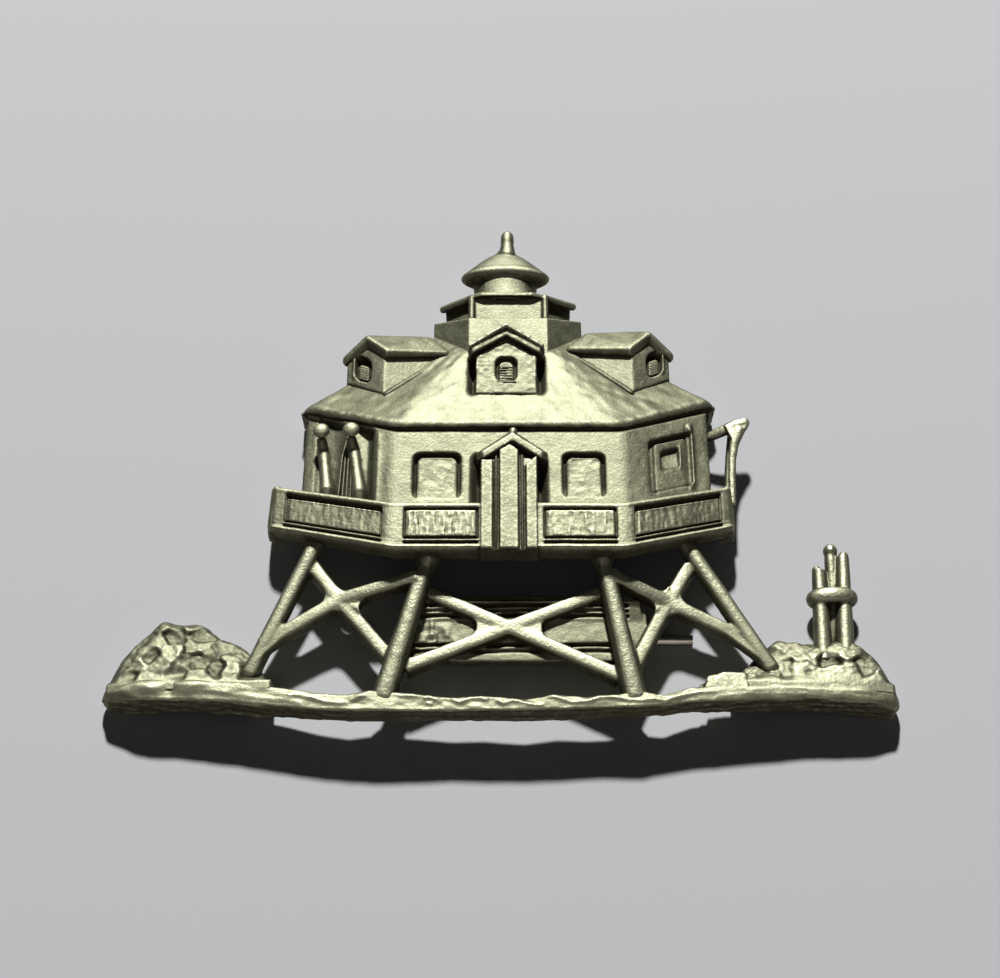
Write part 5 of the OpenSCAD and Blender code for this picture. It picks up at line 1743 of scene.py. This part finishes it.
class BROOCH_OT_stage(bpy.types.Operator):
    """Make the pale floor, the lights and the camera"""

    bl_idname = "brooch.stage"
    bl_label = "Stage"

    def execute(self, context):
        scene = context.scene
        paint = bpy.data.materials.new("pale floor")
        paint.use_nodes = True
        shader = paint.node_tree.nodes["Principled BSDF"]
        shader.inputs["Base Color"].default_value = (0.62, 0.63, 0.655, 1)
        shader.inputs["Roughness"].default_value = 0.9
        floor = bpy.data.meshes.new("floor")
        floor.from_pydata([(-1, -1, 0), (1, -1, 0), (1, 1, 0), (-1, 1, 0)], [], [(0, 1, 2, 3)])
        floor.materials.append(paint)
        floor_obj = bpy.data.objects.new("floor", floor)
        floor_obj.location.z = -0.00002
        scene.collection.objects.link(floor_obj)
        floor_obj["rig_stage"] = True
        world = bpy.data.worlds.new("studio")
        world.use_nodes = True
        tree = world.node_tree
        dim = tree.nodes["Background"]
        dim.inputs["Color"].default_value = (0.80, 0.82, 0.9, 1)
        dim.inputs["Strength"].default_value = 0.02
        # A pale backdrop where the camera looks past the floor
        backdrop = node(tree, "ShaderNodeBackground", {"Color": (0.30, 0.305, 0.32, 1)})
        seen = node(tree, "ShaderNodeLightPath").outputs["Is Camera Ray"]
        either = node(
            tree, "ShaderNodeMixShader", {0: seen, 1: dim.outputs[0], 2: backdrop.outputs[0]})
        tree.links.new(either.outputs[0], tree.nodes["World Output"].inputs["Surface"])
        scene.world = world
        for name, (place, size, power, tint, on_floor) in LAMPS.items():
            light = bpy.data.lights.new(name, "AREA")
            light.shape = "DISK"
            light.size = size
            light.energy = power
            light.color = tint
            lamp = bpy.data.objects.new(name, light)
            lamp.location = place
            lamp.rotation_euler = Vector(place).to_track_quat("Z", "Y").to_euler()
            lamp.visible_diffuse = on_floor
            scene.collection.objects.link(lamp)
        camera = bpy.data.cameras.new("camera")
        camera.lens = CAMERA_LENS
        camera.sensor_width = 36.0
        camera.sensor_fit = "HORIZONTAL"
        camera.clip_start = 0.01
        camera.clip_end = 10.0
        eye = bpy.data.objects.new("camera", camera)
        tilt = math.radians(CAMERA_UP)
        back = Vector((0, -math.cos(tilt), math.sin(tilt)))
        eye.location = Vector(CAMERA_AIM) + back * CAMERA_AWAY
        eye.rotation_euler = back.to_track_quat("Z", "Y").to_euler()
        scene.collection.objects.link(eye)
        scene.camera = eye
        scene.view_settings.view_transform = "Standard"
        return {"FINISHED"}


class BROOCH_PT_panel(bpy.types.Panel):
    bl_label = "Pewter brooch"
    bl_idname = "BROOCH_PT_panel"
    bl_space_type = "VIEW_3D"
    bl_region_type = "UI"
    bl_category = "Brooch"

    def draw(self, context):
        layout = self.layout
        for group in (context.scene.brooch_sizes, context.scene.brooch_finish):
            box = layout.box()
            for name in group.bl_rna.properties.keys():
                if name not in ("rna_type", "name"):
                    box.prop(group, name)
        for operator in OPERATORS:
            layout.operator(operator.bl_idname)


OPERATORS = (
    BROOCH_OT_metals,
    BROOCH_OT_shore,
    BROOCH_OT_rocks,
    BROOCH_OT_legs,
    BROOCH_OT_mooring,
    BROOCH_OT_rail,
    BROOCH_OT_walls,
    BROOCH_OT_door,
    BROOCH_OT_davit,
    BROOCH_OT_roof,
    BROOCH_OT_dormers,
    BROOCH_OT_tower,
    BROOCH_OT_lantern,
    BROOCH_OT_pin,
    BROOCH_OT_ageing,
    BROOCH_OT_stage,
)
CLASSES = (BroochSettings, BroochFinish, *OPERATORS, BROOCH_PT_panel)


def register():
    for cls in CLASSES:
        bpy.utils.register_class(cls)
    bpy.types.Scene.brooch_sizes = bpy.props.PointerProperty(type=BroochSettings)
    bpy.types.Scene.brooch_finish = bpy.props.PointerProperty(type=BroochFinish)


def unregister():
    del bpy.types.Scene.brooch_finish
    del bpy.types.Scene.brooch_sizes
    for cls in reversed(CLASSES):
        bpy.utils.unregister_class(cls)


def main():
    register()
    for operator in OPERATORS:
        group, name = operator.bl_idname.split(".")
        getattr(getattr(bpy.ops, group), name)()


if __name__ == "__main__":
    main()
